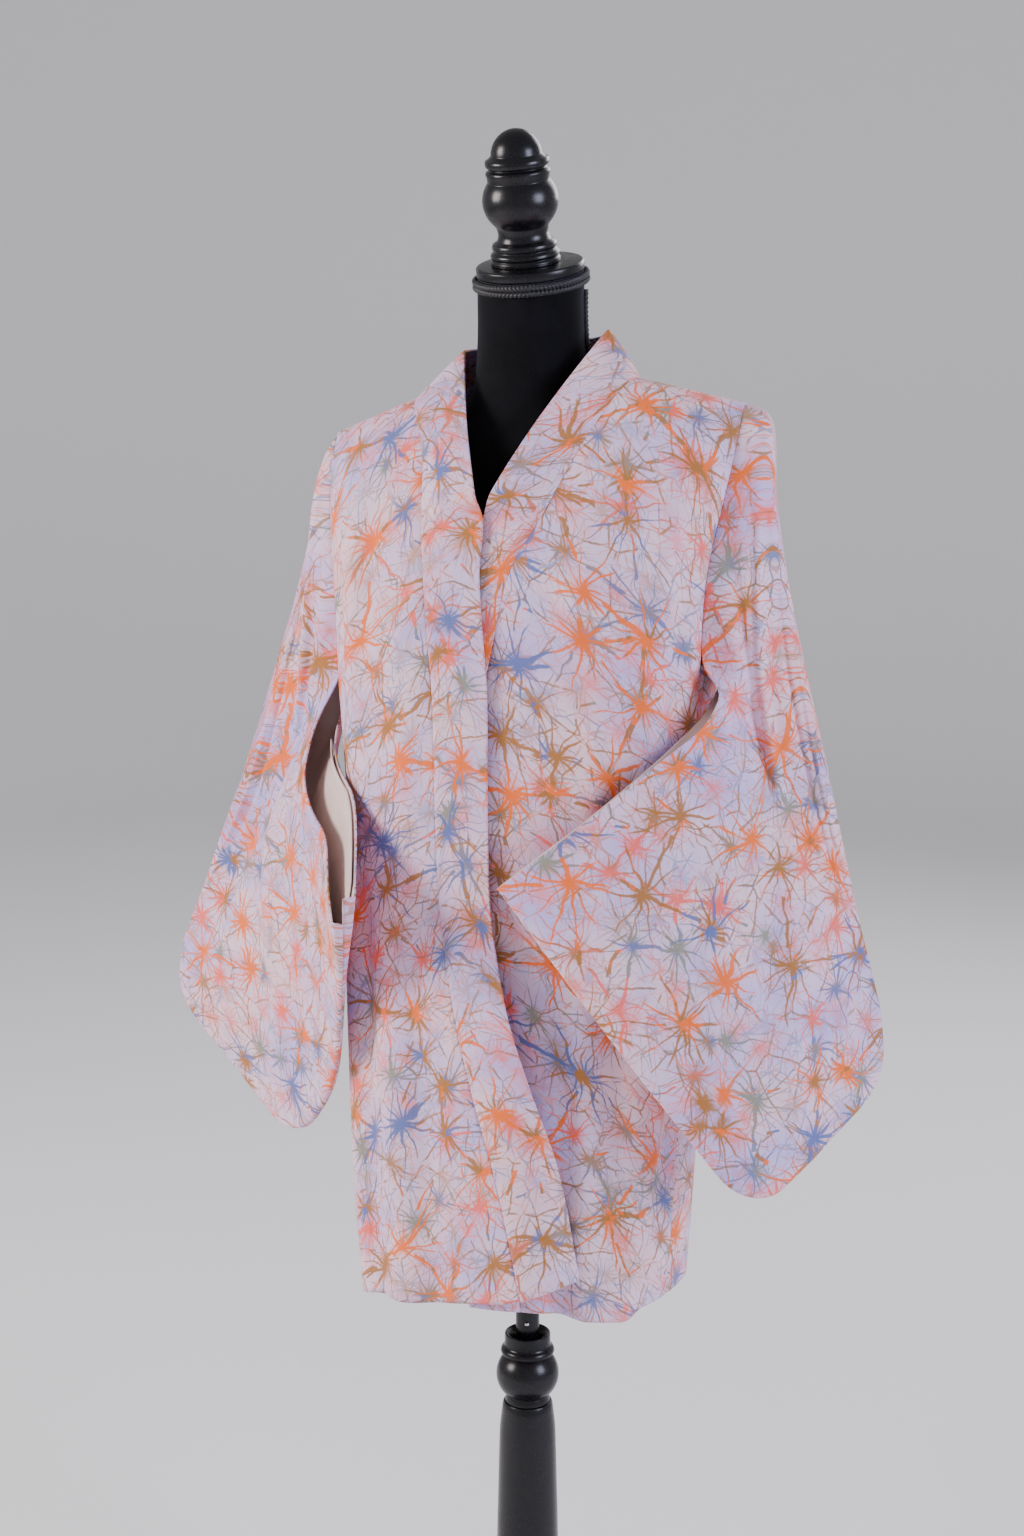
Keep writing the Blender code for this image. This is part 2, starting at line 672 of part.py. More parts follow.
def ball_arc(radius, centre, start, end, steps, squash=1.0):
    """Points down a turned ball, by angle from the top."""
    rows = []
    for i in range(steps + 1):
        turn = math.radians(mix(start, end, i / steps))
        rows.append((radius * math.sin(turn), centre + radius * squash * math.cos(turn)))
    return rows


# height, half width, half depth, set forward
TORSO = (
    (0.640, 0.128, 0.088, 0.000), (0.665, 0.140, 0.097, 0.000), (0.740, 0.148, 0.103, 0.000),
    (0.820, 0.146, 0.102, 0.000), (0.900, 0.132, 0.095, 0.000), (0.990, 0.118, 0.088, 0.000),
    (1.080, 0.126, 0.092, 0.002), (1.160, 0.144, 0.101, 0.004), (1.230, 0.156, 0.100, 0.003),
    (1.275, 0.158, 0.088, 0.000), (1.305, 0.148, 0.072, 0.000), (1.328, 0.118, 0.057, 0.000),
    (1.345, 0.084, 0.050, -0.004), (1.362, 0.062, 0.048, -0.007), (1.385, 0.053, 0.0475, -0.009),
    (1.415, 0.0505, 0.0475, -0.010), (1.438, 0.0497, 0.0480, -0.010),
)


def torso():
    """Padded and velvet-covered: hips, waist, bust and neck in one, its top cut on a slope."""
    shape = bmesh.new()
    segments = 32
    grid = []
    for height, wide, deep, forward in TORSO:
        power = 2.0 / mix(2.3, 2.0, ease((height - 1.25) / 0.12))
        row = []
        for i in range(segments):
            turn = 2.0 * math.pi * i / segments
            sine, cosine = math.sin(turn), math.cos(turn)
            row.append(Vector((wide * math.copysign(abs(cosine)**power, cosine),
                               deep * math.copysign(abs(sine)**power, sine) - forward, height)))
        grid.append(row)
    slope = Matrix.Rotation(NECK_TILT, 3, "X")
    for below in (0.020, SEAM_GAP):
        rim = []
        for i in range(segments):
            turn = 2.0 * math.pi * i / segments
            place = Vector((math.cos(turn) * NECK_RADIUS, math.sin(turn) * NECK_RADIUS, -below))
            rim.append(slope @ place + NECK_TOP)
        grid.append(rim)
    rows = grid_faces(shape, grid, closed=True)
    shape.faces.new(rows[0])
    shape.faces.new(rows[-1])
    bmesh.ops.recalc_face_normals(shape, faces=shape.faces)
    mesh = bpy.data.meshes.new("torso")
    shape.to_mesh(mesh)
    shape.free()
    mesh.shade_smooth()
    mesh.set_sharp_from_angle(angle=math.radians(50.0))
    return add_object("torso", mesh, VELVET)


NECK_FRAME = Matrix.Translation(NECK_TOP) @ Matrix.Rotation(NECK_TILT, 4, "X")


def neck_pieces():
    """Cap disc and finial on the sloping neck, the braid under the cap and the cord beside it."""
    disc = 0.0095
    turned("neck_disc", [(0.0, disc), (0.0485, disc), (0.0500, disc - 0.0015), (0.0500, 0.0015),
                         (0.0485, 0.0), (0.0, 0.0)], LACQUER, 36, NECK_FRAME)
    foot = disc + SEAM_GAP
    rows = [(0.0, 0.1255)] + ball_arc(0.0235, 0.1020, 12, 86, 6)
    rows += [(0.0288, 0.1000), (0.0294, 0.0970), (0.0284, 0.0940), (0.0262, 0.0925),
             (0.0288, 0.0905), (0.0296, 0.0880), (0.0288, 0.0860)]
    rows += ball_arc(0.0348, 0.0640, 52, 132, 8, 0.86)[1:]
    rows += [(0.0238, 0.0395), (0.0232, 0.0350), (0.0250, 0.0300), (0.0292, 0.0275),
             (0.0298, 0.0240), (0.0288, 0.0220), (0.0312, 0.0195), (0.0318, 0.0165),
             (0.0308, 0.0148), (0.0322, 0.0128), (0.0322, foot), (0.0, foot)]
    rows = [(radius, mix(foot, height, FINIAL_STRETCH)) for radius, height in rows]
    turned("finial", rows, LACQUER, 28, NECK_FRAME @ Matrix.Translation(FINIAL_OFF_CENTRE))
    braid = [(NECK_RADIUS + 0.0006, -0.0008), (NECK_RADIUS + 0.0034, -0.0012),
             (NECK_RADIUS + 0.0046, -0.0036), (NECK_RADIUS + 0.0036, -0.0064),
             (NECK_RADIUS + 0.0046, -0.0092), (NECK_RADIUS + 0.0034, -0.0120),
             (NECK_RADIUS + 0.0006, -0.0124), (NECK_RADIUS + 0.0006, -0.0008)]
    turned("neck_braid", braid, BRAID, 36, NECK_FRAME)


def neck_cord():
    """A braid sewn down the side of the neck, from the ring of braid to inside the collar."""
    path = bpy.data.curves.new("neck_cord", "CURVE")
    path.dimensions = "3D"
    path.bevel_depth = 0.0028
    path.bevel_resolution = 2
    path.use_fill_caps = True
    line = path.splines.new("POLY")
    line.points.add(9)
    for i, point in enumerate(line.points):
        share = i / 9.0
        height = mix(1.4640, 1.3960, share)
        stand_off = read(((1.385, 0.0620), (1.415, 0.0556), (1.445, 0.0533), (1.47, 0.0533)), 1, height)
        turn = math.radians(14.0)
        point.co = (stand_off * math.cos(turn), stand_off * math.sin(turn) + 0.010, height, 1.0)
    made = bpy.data.objects.new("neck_cord", path)
    haori_form.objects.link(made)
    path.materials.append(BRAID)


def stand():
    """Pole into a turned cup and ball, a tapered column and a round base."""
    cup_floor = 0.4300
    turned("pole", [(0.0, TORSO_BOTTOM - SEAM_GAP), (POLE_RADIUS, TORSO_BOTTOM - SEAM_GAP),
                    (POLE_RADIUS, cup_floor + SEAM_GAP), (0.0, cup_floor + SEAM_GAP)], LACQUER, 24)
    column_top = 0.3790
    rows = [(POLE_RADIUS + 0.0006, cup_floor), (POLE_RADIUS + 0.0006, 0.4400), (0.0180, 0.4490),
            (0.0215, 0.4515), (0.0228, 0.4490), (0.0228, 0.4400), (0.0244, 0.4370),
            (0.0264, 0.4345), (0.0268, 0.4320), (0.0258, 0.4300)]
    rows += ball_arc(0.0313, 0.4080, 46, 138, 8, 0.95)
    rows += [(0.0225, 0.3810), (0.0225, column_top + SEAM_GAP), (0.0, column_top + SEAM_GAP)]
    turned("stand_cup", [(0.0, cup_floor)] + rows, LACQUER, 28)
    rows = [(0.0, column_top), (0.0238, column_top), (0.0250, 0.3765), (0.0258, 0.3700),
            (0.0280, 0.3500), (0.0296, 0.2900), (0.0310, 0.2300), (0.0318, 0.1500),
            (0.0318, 0.0900), (0.0300, 0.0660), (0.0330, 0.0600), (0.0400, 0.0560),
            (0.0410, 0.0500), (0.0380, 0.0440), (0.0520, 0.0380),
            (0.0560, BASE_HEIGHT + SEAM_GAP), (0.0, BASE_HEIGHT + SEAM_GAP)]
    turned("column", rows, LACQUER, 28)
    turned("base", [(0.0, BASE_HEIGHT), (BASE_RADIUS - 0.014, BASE_HEIGHT),
                    (BASE_RADIUS - 0.004, BASE_HEIGHT - 0.004), (BASE_RADIUS, BASE_HEIGHT - 0.012),
                    (BASE_RADIUS, 0.003), (BASE_RADIUS - 0.003, 0.0), (0.0, 0.0)], LACQUER, 48)
    facing = Matrix.Rotation(math.radians(17.0), 4, "Z") @ Matrix.Rotation(math.radians(90.0), 4, "X")
    away = Vector((math.sin(math.radians(17.0)), -math.cos(math.radians(17.0)), 0.0))
    place = Matrix.Translation(Vector((0, 0, 0.4640)) + away * (POLE_RADIUS + SEAM_GAP)) @ facing
    turned("pole_pin", [(0.0, 0.0016), (0.0014, 0.0012), (0.0022, 0.0004), (0.0022, 0.0), (0.0, 0.0)],
           STEEL, 12, place)


for side_name in ("left", "right"):
    body_half(side_name)
    gusset(side_name)
    sleeve(side_name)
sleeve_lining()
collar()
torso()
neck_pieces()
neck_cord()
stand()
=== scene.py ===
"""A haori hung on a black dress form with a turned stand, in metres, on the part's own frame."""
import json
import math

import bmesh
import bpy
from mathutils import Matrix, Vector, noise

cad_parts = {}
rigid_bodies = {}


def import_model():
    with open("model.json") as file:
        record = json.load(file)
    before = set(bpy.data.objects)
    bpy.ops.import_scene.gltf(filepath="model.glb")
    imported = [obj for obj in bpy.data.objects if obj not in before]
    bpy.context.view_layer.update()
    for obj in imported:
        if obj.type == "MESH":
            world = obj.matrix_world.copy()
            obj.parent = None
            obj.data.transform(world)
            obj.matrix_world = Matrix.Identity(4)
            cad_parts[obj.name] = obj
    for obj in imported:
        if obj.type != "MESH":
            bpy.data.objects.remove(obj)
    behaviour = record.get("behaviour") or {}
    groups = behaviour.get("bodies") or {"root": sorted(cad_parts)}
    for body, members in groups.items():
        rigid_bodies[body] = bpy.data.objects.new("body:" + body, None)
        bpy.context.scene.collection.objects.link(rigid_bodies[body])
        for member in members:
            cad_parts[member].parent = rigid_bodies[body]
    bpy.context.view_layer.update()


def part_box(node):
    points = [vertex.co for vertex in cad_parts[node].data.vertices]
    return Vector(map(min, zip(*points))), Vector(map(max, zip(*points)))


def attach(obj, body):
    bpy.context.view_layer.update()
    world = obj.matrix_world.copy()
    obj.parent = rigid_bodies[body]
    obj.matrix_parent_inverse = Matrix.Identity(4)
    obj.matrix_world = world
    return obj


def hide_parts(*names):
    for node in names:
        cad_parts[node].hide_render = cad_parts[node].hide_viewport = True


for old in list(bpy.data.objects):
    bpy.data.objects.remove(old, do_unlink=True)
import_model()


# ---------------------------------------------------------------- camera and room
# A tall 52 mm view from the wearer's left of the front, a little above the chest. The room is a
# pale bowl with a rounded foot, so the floor runs up into the wall on every side.

lens = bpy.data.cameras.new("camera")
lens.sensor_fit = "VERTICAL"
lens.sensor_height = 36.0
lens.lens = 52.0
lens.shift_x = -0.0098
camera = bpy.data.objects.new("camera", lens)
camera.location = (0.711, -1.955, 1.397)
camera.rotation_euler = (math.radians(90.0 - 10.2), 0.0, math.radians(20.0))
bpy.context.scene.collection.objects.link(camera)
bpy.context.scene.camera = camera

bowl = bmesh.new()
rim = [bowl.verts.new((radius, 0.0, height)) for radius, height in
       [(0.0, 0.0), (2.5, 0.0), (5.0, 0.0)]
       + [(5.0 + 1.6 * math.sin(turn), 1.6 - 1.6 * math.cos(turn))
          for turn in (0.2, 0.45, 0.7, 0.95, 1.2, 1.4, 1.57)] + [(6.6, 4.2)]]
for low, high in zip(rim, rim[1:]):
    bowl.edges.new((low, high))
bmesh.ops.spin(bowl, geom=bowl.verts[:] + bowl.edges[:], axis=(0, 0, 1), cent=(0, 0, 0),
               steps=64, angle=2.0 * math.pi, use_merge=True)
bmesh.ops.remove_doubles(bowl, verts=bowl.verts, dist=0.0001)
bmesh.ops.recalc_face_normals(bowl, faces=bowl.faces)
bmesh.ops.reverse_faces(bowl, faces=bowl.faces)
floor_mesh = bpy.data.meshes.new("floor")
bowl.to_mesh(floor_mesh)
bowl.free()
floor_mesh.shade_smooth()
floor = bpy.data.objects.new("floor", floor_mesh)
bpy.context.scene.collection.objects.link(floor)
paint = bpy.data.materials.new("pale_floor")
paint.use_nodes = True
matt = paint.node_tree.nodes["Principled BSDF"].inputs
matt["Base Color"].default_value = (0.86, 0.855, 0.86, 1)
matt["Roughness"].default_value = 0.9
floor_mesh.materials.append(paint)

sky = bpy.data.worlds.new("room_light")
sky.use_nodes = True
sky.node_tree.nodes["Background"].inputs["Color"].default_value = (0.95, 0.95, 1.0, 1.0)
sky.node_tree.nodes["Background"].inputs["Strength"].default_value = 0.40
bpy.context.scene.world = sky

for name, place, size, power, tint in (
        ("window_left", (-2.6, -1.7, 2.2), 1.3, 128.0, (1.0, 0.92, 0.90)),
        ("window_right", (2.9, -0.7, 1.9), 1.3, 84.0, (0.74, 0.77, 1.0)),
        ("window_back", (0.6, 2.9, 2.6), 1.8, 55.0, (0.95, 0.95, 1.0))):
    glow = bpy.data.lights.new(name, "AREA")
    glow.size = size
    glow.energy = power
    glow.color = tint
    lamp = bpy.data.objects.new(name, glow)
    lamp.location = place
    aim = Vector((0.0, 0.0, 1.0)) - Vector(place)
    lamp.rotation_euler = aim.to_track_quat("-Z", "Y").to_euler()
    bpy.context.scene.collection.objects.link(lamp)


# ---------------------------------------------------------------- turned stand
# Hardwood turned on a lathe and sprayed satin black: a round base, a tapered column and a cup
# that grips the pole. Beads and grooves keep crisp edges, and the lacquer softens them a little.

class Tint:
    """A socket of a material's nodes. Sums written on it add Math nodes."""

    def __init__(self, tree, socket=None):
        self.tree = tree
        self.socket = socket

    def node(self, kind, settings, values, output=0):
        made = self.tree.nodes.new(kind)
        for name, setting in settings.items():
            if name == "stops":
                ramp = made.color_ramp
                while len(ramp.elements) < len(setting):
                    ramp.elements.new(0.5)
                for element, (place, colour) in zip(ramp.elements, setting):
                    element.position = place
                    element.color = (*colour, 1.0)
            else:
                setattr(made, name, setting)
        for key, value in values.items():
            if isinstance(value, Tint):
                self.tree.links.new(value.socket, made.inputs[key])
            else:
                made.inputs[key].default_value = value
        return Tint(self.tree, made.outputs[output])

    def sum(self, operation, *values):
        return self.node("ShaderNodeMath", {"operation": operation}, dict(enumerate(values)))

    def step(self, low, high):
        """0 below low and 1 above high, smooth between."""
        return self.node("ShaderNodeMapRange", {"interpolation_type": "SMOOTHSTEP"},
                         {0: self, 1: low, 2: high, 3: 0.0, 4: 1.0})

    def cloud(self, scale, detail=2.0, output=0):
        """Noise at a place, by size of cloud for each metre."""
        return self.node("ShaderNodeTexNoise", {"noise_dimensions": "3D"},
                         {"Vector": self, "Scale": scale, "Detail": detail}, output)

    def over(self, base, colour):
        """This mask's share of a colour laid over a base."""
        return self.node("ShaderNodeMix", {"data_type": "RGBA"}, {0: self, 6: base, 7: colour}, 2)

    def parts(self, count):
        return [self.node("ShaderNodeSeparateXYZ", {}, {0: self}, i) for i in range(count)]

    def toss(self, output):
        """White noise at a place: a number, or three with output 1."""
        return self.node("ShaderNodeTexWhiteNoise", {"noise_dimensions": "3D"}, {"Vector": self},
                         output)

    def vector(self, operation, *values, output=0):
        return self.node("ShaderNodeVectorMath", {"operation": operation}, dict(enumerate(values)),
                         output)


for written, operation in (("add", "ADD"), ("sub", "SUBTRACT"), ("mul", "MULTIPLY"),
                           ("truediv", "DIVIDE")):
    setattr(Tint, f"__{written}__",
            lambda self, other, operation=operation: self.sum(operation, self, other))
    setattr(Tint, f"__r{written}__",
            lambda self, other, operation=operation: self.sum(operation, other, self))


def finish_named(name, constants):
    """A new material: its shader with the constant values set, and a Tint to write nodes from."""
    made = bpy.data.materials.new(name)
    made.use_nodes = True
    shader = made.node_tree.nodes["Principled BSDF"]
    for key, value in constants.items():
        shader.inputs[key].default_value = value
    return made, shader, Tint(made.node_tree)


def feed(shader, tint, key, value):
    tint.tree.links.new(value.socket, shader.inputs[key])


def bumped(shader, tint, height, strength, distance):
    feed(shader, tint, "Normal", tint.node("ShaderNodeBump", {}, {
        "Strength": strength, "Distance": distance, "Height": height}))


def satin_lacquer():
    made, shader, tint = finish_named("satin_black_lacquer", {
        "Base Color": (0.0045, 0.0045, 0.006, 1), "Specular IOR Level": 0.34})
    place = tint.node("ShaderNodeTexCoord", {}, {}, 3)
    handling = place.cloud(38.0, 5.0)
    dust = place.cloud(420.0, 3.0).step(0.60, 0.78)
    feed(shader, tint, "Roughness", 0.20 + handling * 0.14 + dust * 0.08)
    feed(shader, tint, "Base Color", (dust * 0.25).over((0.0045, 0.0045, 0.006, 1),
                                                       (0.03, 0.03, 0.034, 1)))
    grain = place.vector("MULTIPLY", place, (1.0, 1.0, 0.08)).cloud(900.0, 3.0)
    bumped(shader, tint, grain, 0.06, 0.0004)
    return made


LACQUER = satin_lacquer()


def mix(start, end, share):
    return start + (end - start) * share


def ease(share):
    share = min(max(share, 0.0), 1.0)
    return share * share * (3.0 - 2.0 * share)


def shown(name, shape, surface, node, smooth=180.0):
    """Makes a piece of a shape in place of a solid, and hides that solid."""
    mesh = bpy.data.meshes.new(name)
    shape.to_mesh(mesh)
    shape.free()
    mesh.shade_smooth()
    if smooth < 180.0:
        mesh.set_sharp_from_angle(angle=math.radians(smooth))
    made = bpy.data.objects.new(name, mesh)
    bpy.context.scene.collection.objects.link(made)
    mesh.materials.append(surface)
    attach(made, "root")
    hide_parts(node)
    return made


def turned(name, profile, node, surface=LACQUER, segments=96, place=None):
    """A lathe-turned piece: rows of radius and height, from the middle of its top to its foot."""
    shape = bmesh.new()
    points = [shape.verts.new((radius, 0.0, height)) for radius, height in profile]
    for upper, lower in zip(points, points[1:]):
        shape.edges.new((upper, lower))
    bmesh.ops.spin(shape, geom=shape.verts[:] + shape.edges[:], axis=(0, 0, 1), cent=(0, 0, 0),
                   steps=segments, angle=2.0 * math.pi, use_merge=True)
    bmesh.ops.remove_doubles(shape, verts=shape.verts, dist=0.00001)
    bmesh.ops.recalc_face_normals(shape, faces=shape.faces)
    if place is not None:
        bmesh.ops.transform(shape, matrix=place, verts=shape.verts)
    made = shown(name, shape, surface, node)
    soft = made.modifiers.new("softened_edges", "BEVEL")
    soft.width = 0.00045
    soft.segments = 2
    soft.limit_method = "ANGLE"
    soft.angle_limit = math.radians(28.0)
    soft.harden_normals = True
    return made


def ball_arc(radius, centre, start, end, steps, squash=1.0):
    """Rows down a turned ball, by angle from its top."""
    rows = []
    for i in range(steps + 1):
        turn = math.radians(mix(start, end, i / steps))
        rows.append((radius * math.sin(turn), centre + radius * squash * math.cos(turn)))
    return rows


base_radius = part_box("base")[1].x
turned("turned_base", [(0.0, 0.030), (0.075, 0.030), (0.078, 0.0292), (0.082, 0.0300),
                       (base_radius - 0.016, 0.0300), (base_radius - 0.009, 0.0285),
                       (base_radius - 0.004, 0.0250), (base_radius - 0.001, 0.0200),
                       (base_radius, 0.0160), (base_radius, 0.003),
                       (base_radius - 0.003, 0.0), (0.0, 0.0)], "base", segments=128)
turned("tapered_column", [
    (0.0, 0.3790), (0.0238, 0.3790), (0.0250, 0.3765), (0.0258, 0.3700), (0.0270, 0.3600),
    (0.0280, 0.3500), (0.0289, 0.3200), (0.0296, 0.2900), (0.0304, 0.2600), (0.0310, 0.2300),
    (0.0315, 0.1900), (0.0318, 0.1500), (0.0319, 0.1200), (0.0318, 0.0900), (0.0309, 0.0760),
    (0.0300, 0.0660), (0.0306, 0.0630), (0.0330, 0.0600), (0.0375, 0.0585), (0.0400, 0.0560),
    (0.0410, 0.0530), (0.0410, 0.0500), (0.0400, 0.0465), (0.0380, 0.0440), (0.0395, 0.0420),
    (0.0450, 0.0400), (0.0520, 0.0380), (0.0548, 0.0355), (0.0560, 0.0330), (0.0560, 0.0305),
    (0.0, 0.0305)], "column")
turned("stand_cup_and_ball", [
    (0.0, 0.4300), (0.0123, 0.4300), (0.0123, 0.4400), (0.0150, 0.4455), (0.0180, 0.4490),
    (0.0198, 0.4508), (0.0215, 0.4515), (0.0225, 0.4508), (0.0228, 0.4490), (0.0228, 0.4400),
    (0.0234, 0.4382), (0.0244, 0.4370), (0.0258, 0.4358), (0.0264, 0.4345), (0.0268, 0.4332),
    (0.0268, 0.4318), (0.0258, 0.4300)] + ball_arc(0.0313, 0.4080, 46, 138, 24, 0.95)
    + [(0.0225, 0.3810), (0.0225, 0.3795), (0.0, 0.3795)], "stand_cup")
turned("steel_pole", [(0.0, 0.6395), (0.0117, 0.6395), (0.0117, 0.4305), (0.0, 0.4305)], "pole")


def bright_stud():
    made, shader, tint = finish_named("bright_stud", {
        "Base Color": (0.62, 0.61, 0.60, 1), "Metallic": 1.0})
    place = tint.node("ShaderNodeTexCoord", {}, {}, 3)
    feed(shader, tint, "Roughness", 0.18 + place.cloud(2600.0, 3.0) * 0.2)
    return made


pin_turn = math.radians(17.0)
pin_place = (Matrix.Translation(Vector((math.sin(pin_turn), -math.cos(pin_turn), 0.0)) * 0.0122
                                + Vector((0.0, 0.0, 0.4640)))
             @ Matrix.Rotation(pin_turn, 4, "Z") @ Matrix.Rotation(math.radians(90.0), 4, "X"))
turned("locking_pin", [(0.0, 0.0016), (0.0008, 0.0015), (0.0014, 0.0012), (0.0019, 0.0008),
                       (0.0022, 0.0004), (0.0022, 0.0), (0.0, 0.0)], "pole_pin",
       bright_stud(), 24, pin_place)


# ---------------------------------------------------------------- velvet torso
# A padded form under close-cut black velvet, in one from the hips to the top of the neck. The
# velvet is pulled tight, so it shows only its pile, which lightens where it turns away.

def read(rows, column, at):
    """Value of a column of a table at a key in its first column, on a smooth curve."""
    if at <= rows[0][0]:
        return rows[0][column]
    if at >= rows[-1][0]:
        return rows[-1][column]
    last = max(i for i in range(len(rows) - 1) if rows[i][0] <= at)

    def slope(i):
        low, high = max(i - 1, 0), min(i + 1, len(rows) - 1)
        return (rows[high][column] - rows[low][column]) / (rows[high][0] - rows[low][0])

    span = rows[last + 1][0] - rows[last][0]
    t = (at - rows[last][0]) / span
    return ((2 * t**3 - 3 * t**2 + 1) * rows[last][column]
            + (t**3 - 2 * t**2 + t) * span * slope(last)
            + (3 * t**2 - 2 * t**3) * rows[last + 1][column]
            + (t**3 - t**2) * span * slope(last + 1))


def black_velvet():
    made, shader, tint = finish_named("black_velvet", {
        "Base Color": (0.0022, 0.0022, 0.003, 1), "Roughness": 0.92, "Sheen Weight": 0.22,
        "Sheen Roughness": 0.38, "Sheen Tint": (0.5, 0.52, 0.66, 1), "Specular IOR Level": 0.15})
    place = tint.node("ShaderNodeTexCoord", {}, {}, 3)
    brushed = place.cloud(26.0, 3.0).step(0.42, 0.66)
    lint = place.cloud(700.0, 2.0).step(0.66, 0.74)
    feed(shader, tint, "Base Color", (lint * 0.3).over(
        (brushed * 0.5).over((0.0020, 0.0020, 0.0028, 1), (0.0055, 0.0055, 0.0085, 1)),
        (0.03, 0.03, 0.036, 1)))
    bumped(shader, tint, place.cloud(1500.0, 2.0), 0.35, 0.0006)
    return made


def laid(shape, columns, rows, place, start=(0.0, 0.0), turned_over=False, chart=None):
    """A grid of cloth laid by place(across, down). Its own metres are kept as the map "cloth"."""
    layer = shape.loops.layers.uv.get("cloth") or shape.loops.layers.uv.new("cloth")
    made = bmesh.ops.create_grid(shape, x_segments=columns, y_segments=rows, size=0.5)
    points = made["verts"]
    wide = columns + 1
    for point in points:
        point.co = place(point.co.x + 0.5, point.co.y + 0.5)
    metres = {}
    if chart:
        metres = {point: chart(k % wide / columns, k // wide / rows)
                  for k, point in enumerate(points)}
    for j in range(0 if chart else rows + 1):
        for i in range(wide):
            point = points[j * wide + i]
            u, v = start
            if i:
                before = points[j * wide + i - 1]
                u = metres[before][0] + (point.co - before.co).length
            if j:
                above = points[(j - 1) * wide + i]
                step = (point.co - above.co).length
                v = metres[above][1] + (-step if turned_over else step)
            metres[point] = (u, v)
    for face in {face for point in points for face in point.link_faces}:
        for loop in face.loops:
            loop[layer].uv = metres[loop.vert]


TORSO = (
    (0.640, 0.128, 0.088, 0.000), (0.665, 0.140, 0.097, 0.000), (0.740, 0.148, 0.103, 0.000),
    (0.820, 0.146, 0.102, 0.000), (0.900, 0.132, 0.095, 0.000), (0.990, 0.118, 0.088, 0.000),
    (1.080, 0.126, 0.092, 0.002), (1.160, 0.144, 0.101, 0.004), (1.230, 0.156, 0.100, 0.003),
    (1.275, 0.158, 0.088, 0.000), (1.305, 0.148, 0.072, 0.000), (1.328, 0.118, 0.057, 0.000),
    (1.345, 0.084, 0.050, -0.004), (1.362, 0.062, 0.048, -0.007), (1.385, 0.053, 0.0475, -0.009),
    (1.415, 0.0505, 0.0475, -0.010), (1.438, 0.0497, 0.0480, -0.010),
)
NECK_RADIUS = 0.0494
NECK_TOP = Vector((0.0, 0.008, 1.484))
NECK_FRAME = Matrix.Translation(NECK_TOP) @ Matrix.Rotation(math.radians(15.0), 4, "X")


def torso_skin(around, up):
    turn = 2.0 * math.pi * around
    sine, cosine = math.sin(turn), math.cos(turn)
    height = mix(0.640, 1.438, min(up / 0.90, 1.0))
    wide, deep, forward = (read(TORSO, column, height) for column in (1, 2, 3))
    power = 2.0 / mix(2.3, 2.0, ease((height - 1.25) / 0.12))
    ring = Vector((wide * math.copysign(abs(cosine)**power, cosine),
                   deep * math.copysign(abs(sine)**power, sine) - forward, height))
    rim = NECK_FRAME @ Vector((cosine * NECK_RADIUS, sine * NECK_RADIUS, -0.0005))
    return mix(ring, rim, max(up - 0.90, 0.0) / 0.10)


skin = bmesh.new()
laid(skin, 96, 130, torso_skin)
bmesh.ops.remove_doubles(skin, verts=skin.verts, dist=0.00002)
bmesh.ops.holes_fill(skin, edges=skin.edges, sides=0)
bmesh.ops.recalc_face_normals(skin, faces=skin.faces)
torso = shown("velvet_torso", skin, black_velvet(), "torso", 50.0)


# ---------------------------------------------------------------- neck cap, finial and braids
# A turned disc and finial stand on the sloping neck. A two-row twisted braid hides the velvet's
# edge under the disc, and one more length is sewn down the side of the neck.

turned("neck_cap", [(0.0, 0.0095), (0.0470, 0.0095), (0.0487, 0.0092), (0.0497, 0.0085),
                    (0.0500, 0.0075), (0.0500, 0.0020), (0.0496, 0.0008), (0.0485, 0.0),
                    (0.0, 0.0)], "neck_disc", place=NECK_FRAME, segments=128)
finial_rows = (
       [(0.0, 0.1255)] + ball_arc(0.0235, 0.1020, 4, 86, 16)
       + [(0.0262, 0.1012), (0.0288, 0.1000), (0.0293, 0.0986), (0.0294, 0.0970), (0.0291, 0.0952),
          (0.0284, 0.0940), (0.0268, 0.0932), (0.0262, 0.0925), (0.0268, 0.0916), (0.0288, 0.0905),
          (0.0295, 0.0894), (0.0296, 0.0880), (0.0288, 0.0860)]
       + ball_arc(0.0348, 0.0640, 52, 132, 26, 0.86)[1:]
       + [(0.0240, 0.0415), (0.0236, 0.0395), (0.0232, 0.0370), (0.0232, 0.0350), (0.0238, 0.0322),
          (0.0250, 0.0300), (0.0278, 0.0286), (0.0292, 0.0275), (0.0298, 0.0258), (0.0298, 0.0240),
          (0.0288, 0.0220), (0.0298, 0.0206), (0.0312, 0.0195), (0.0318, 0.0181), (0.0318, 0.0165),
          (0.0308, 0.0148), (0.0316, 0.0138), (0.0322, 0.0128), (0.0322, 0.0100), (0.0, 0.0100)])
turned("turned_finial", [(radius, mix(0.0100, height, 1.035)) for radius, height in finial_rows],
       "finial", place=NECK_FRAME @ Matrix.Translation(Vector((-0.0038, 0.0, 0.0))))


def braid_silk():
    made, shader, tint = finish_named("black_braid", {
        "Base Color": (0.006, 0.006, 0.009, 1), "Roughness": 0.5, "Sheen Weight": 0.25,
        "Sheen Roughness": 0.4})
    thread = tint.node("ShaderNodeTexCoord", {}, {}, 3).cloud(1900.0, 2.0)
    feed(shader, tint, "Base Color", thread.step(0.35, 0.7).over((0.003, 0.003, 0.005, 1),
                                                                (0.016, 0.016, 0.022, 1)))
    return made


BRAID = braid_silk()


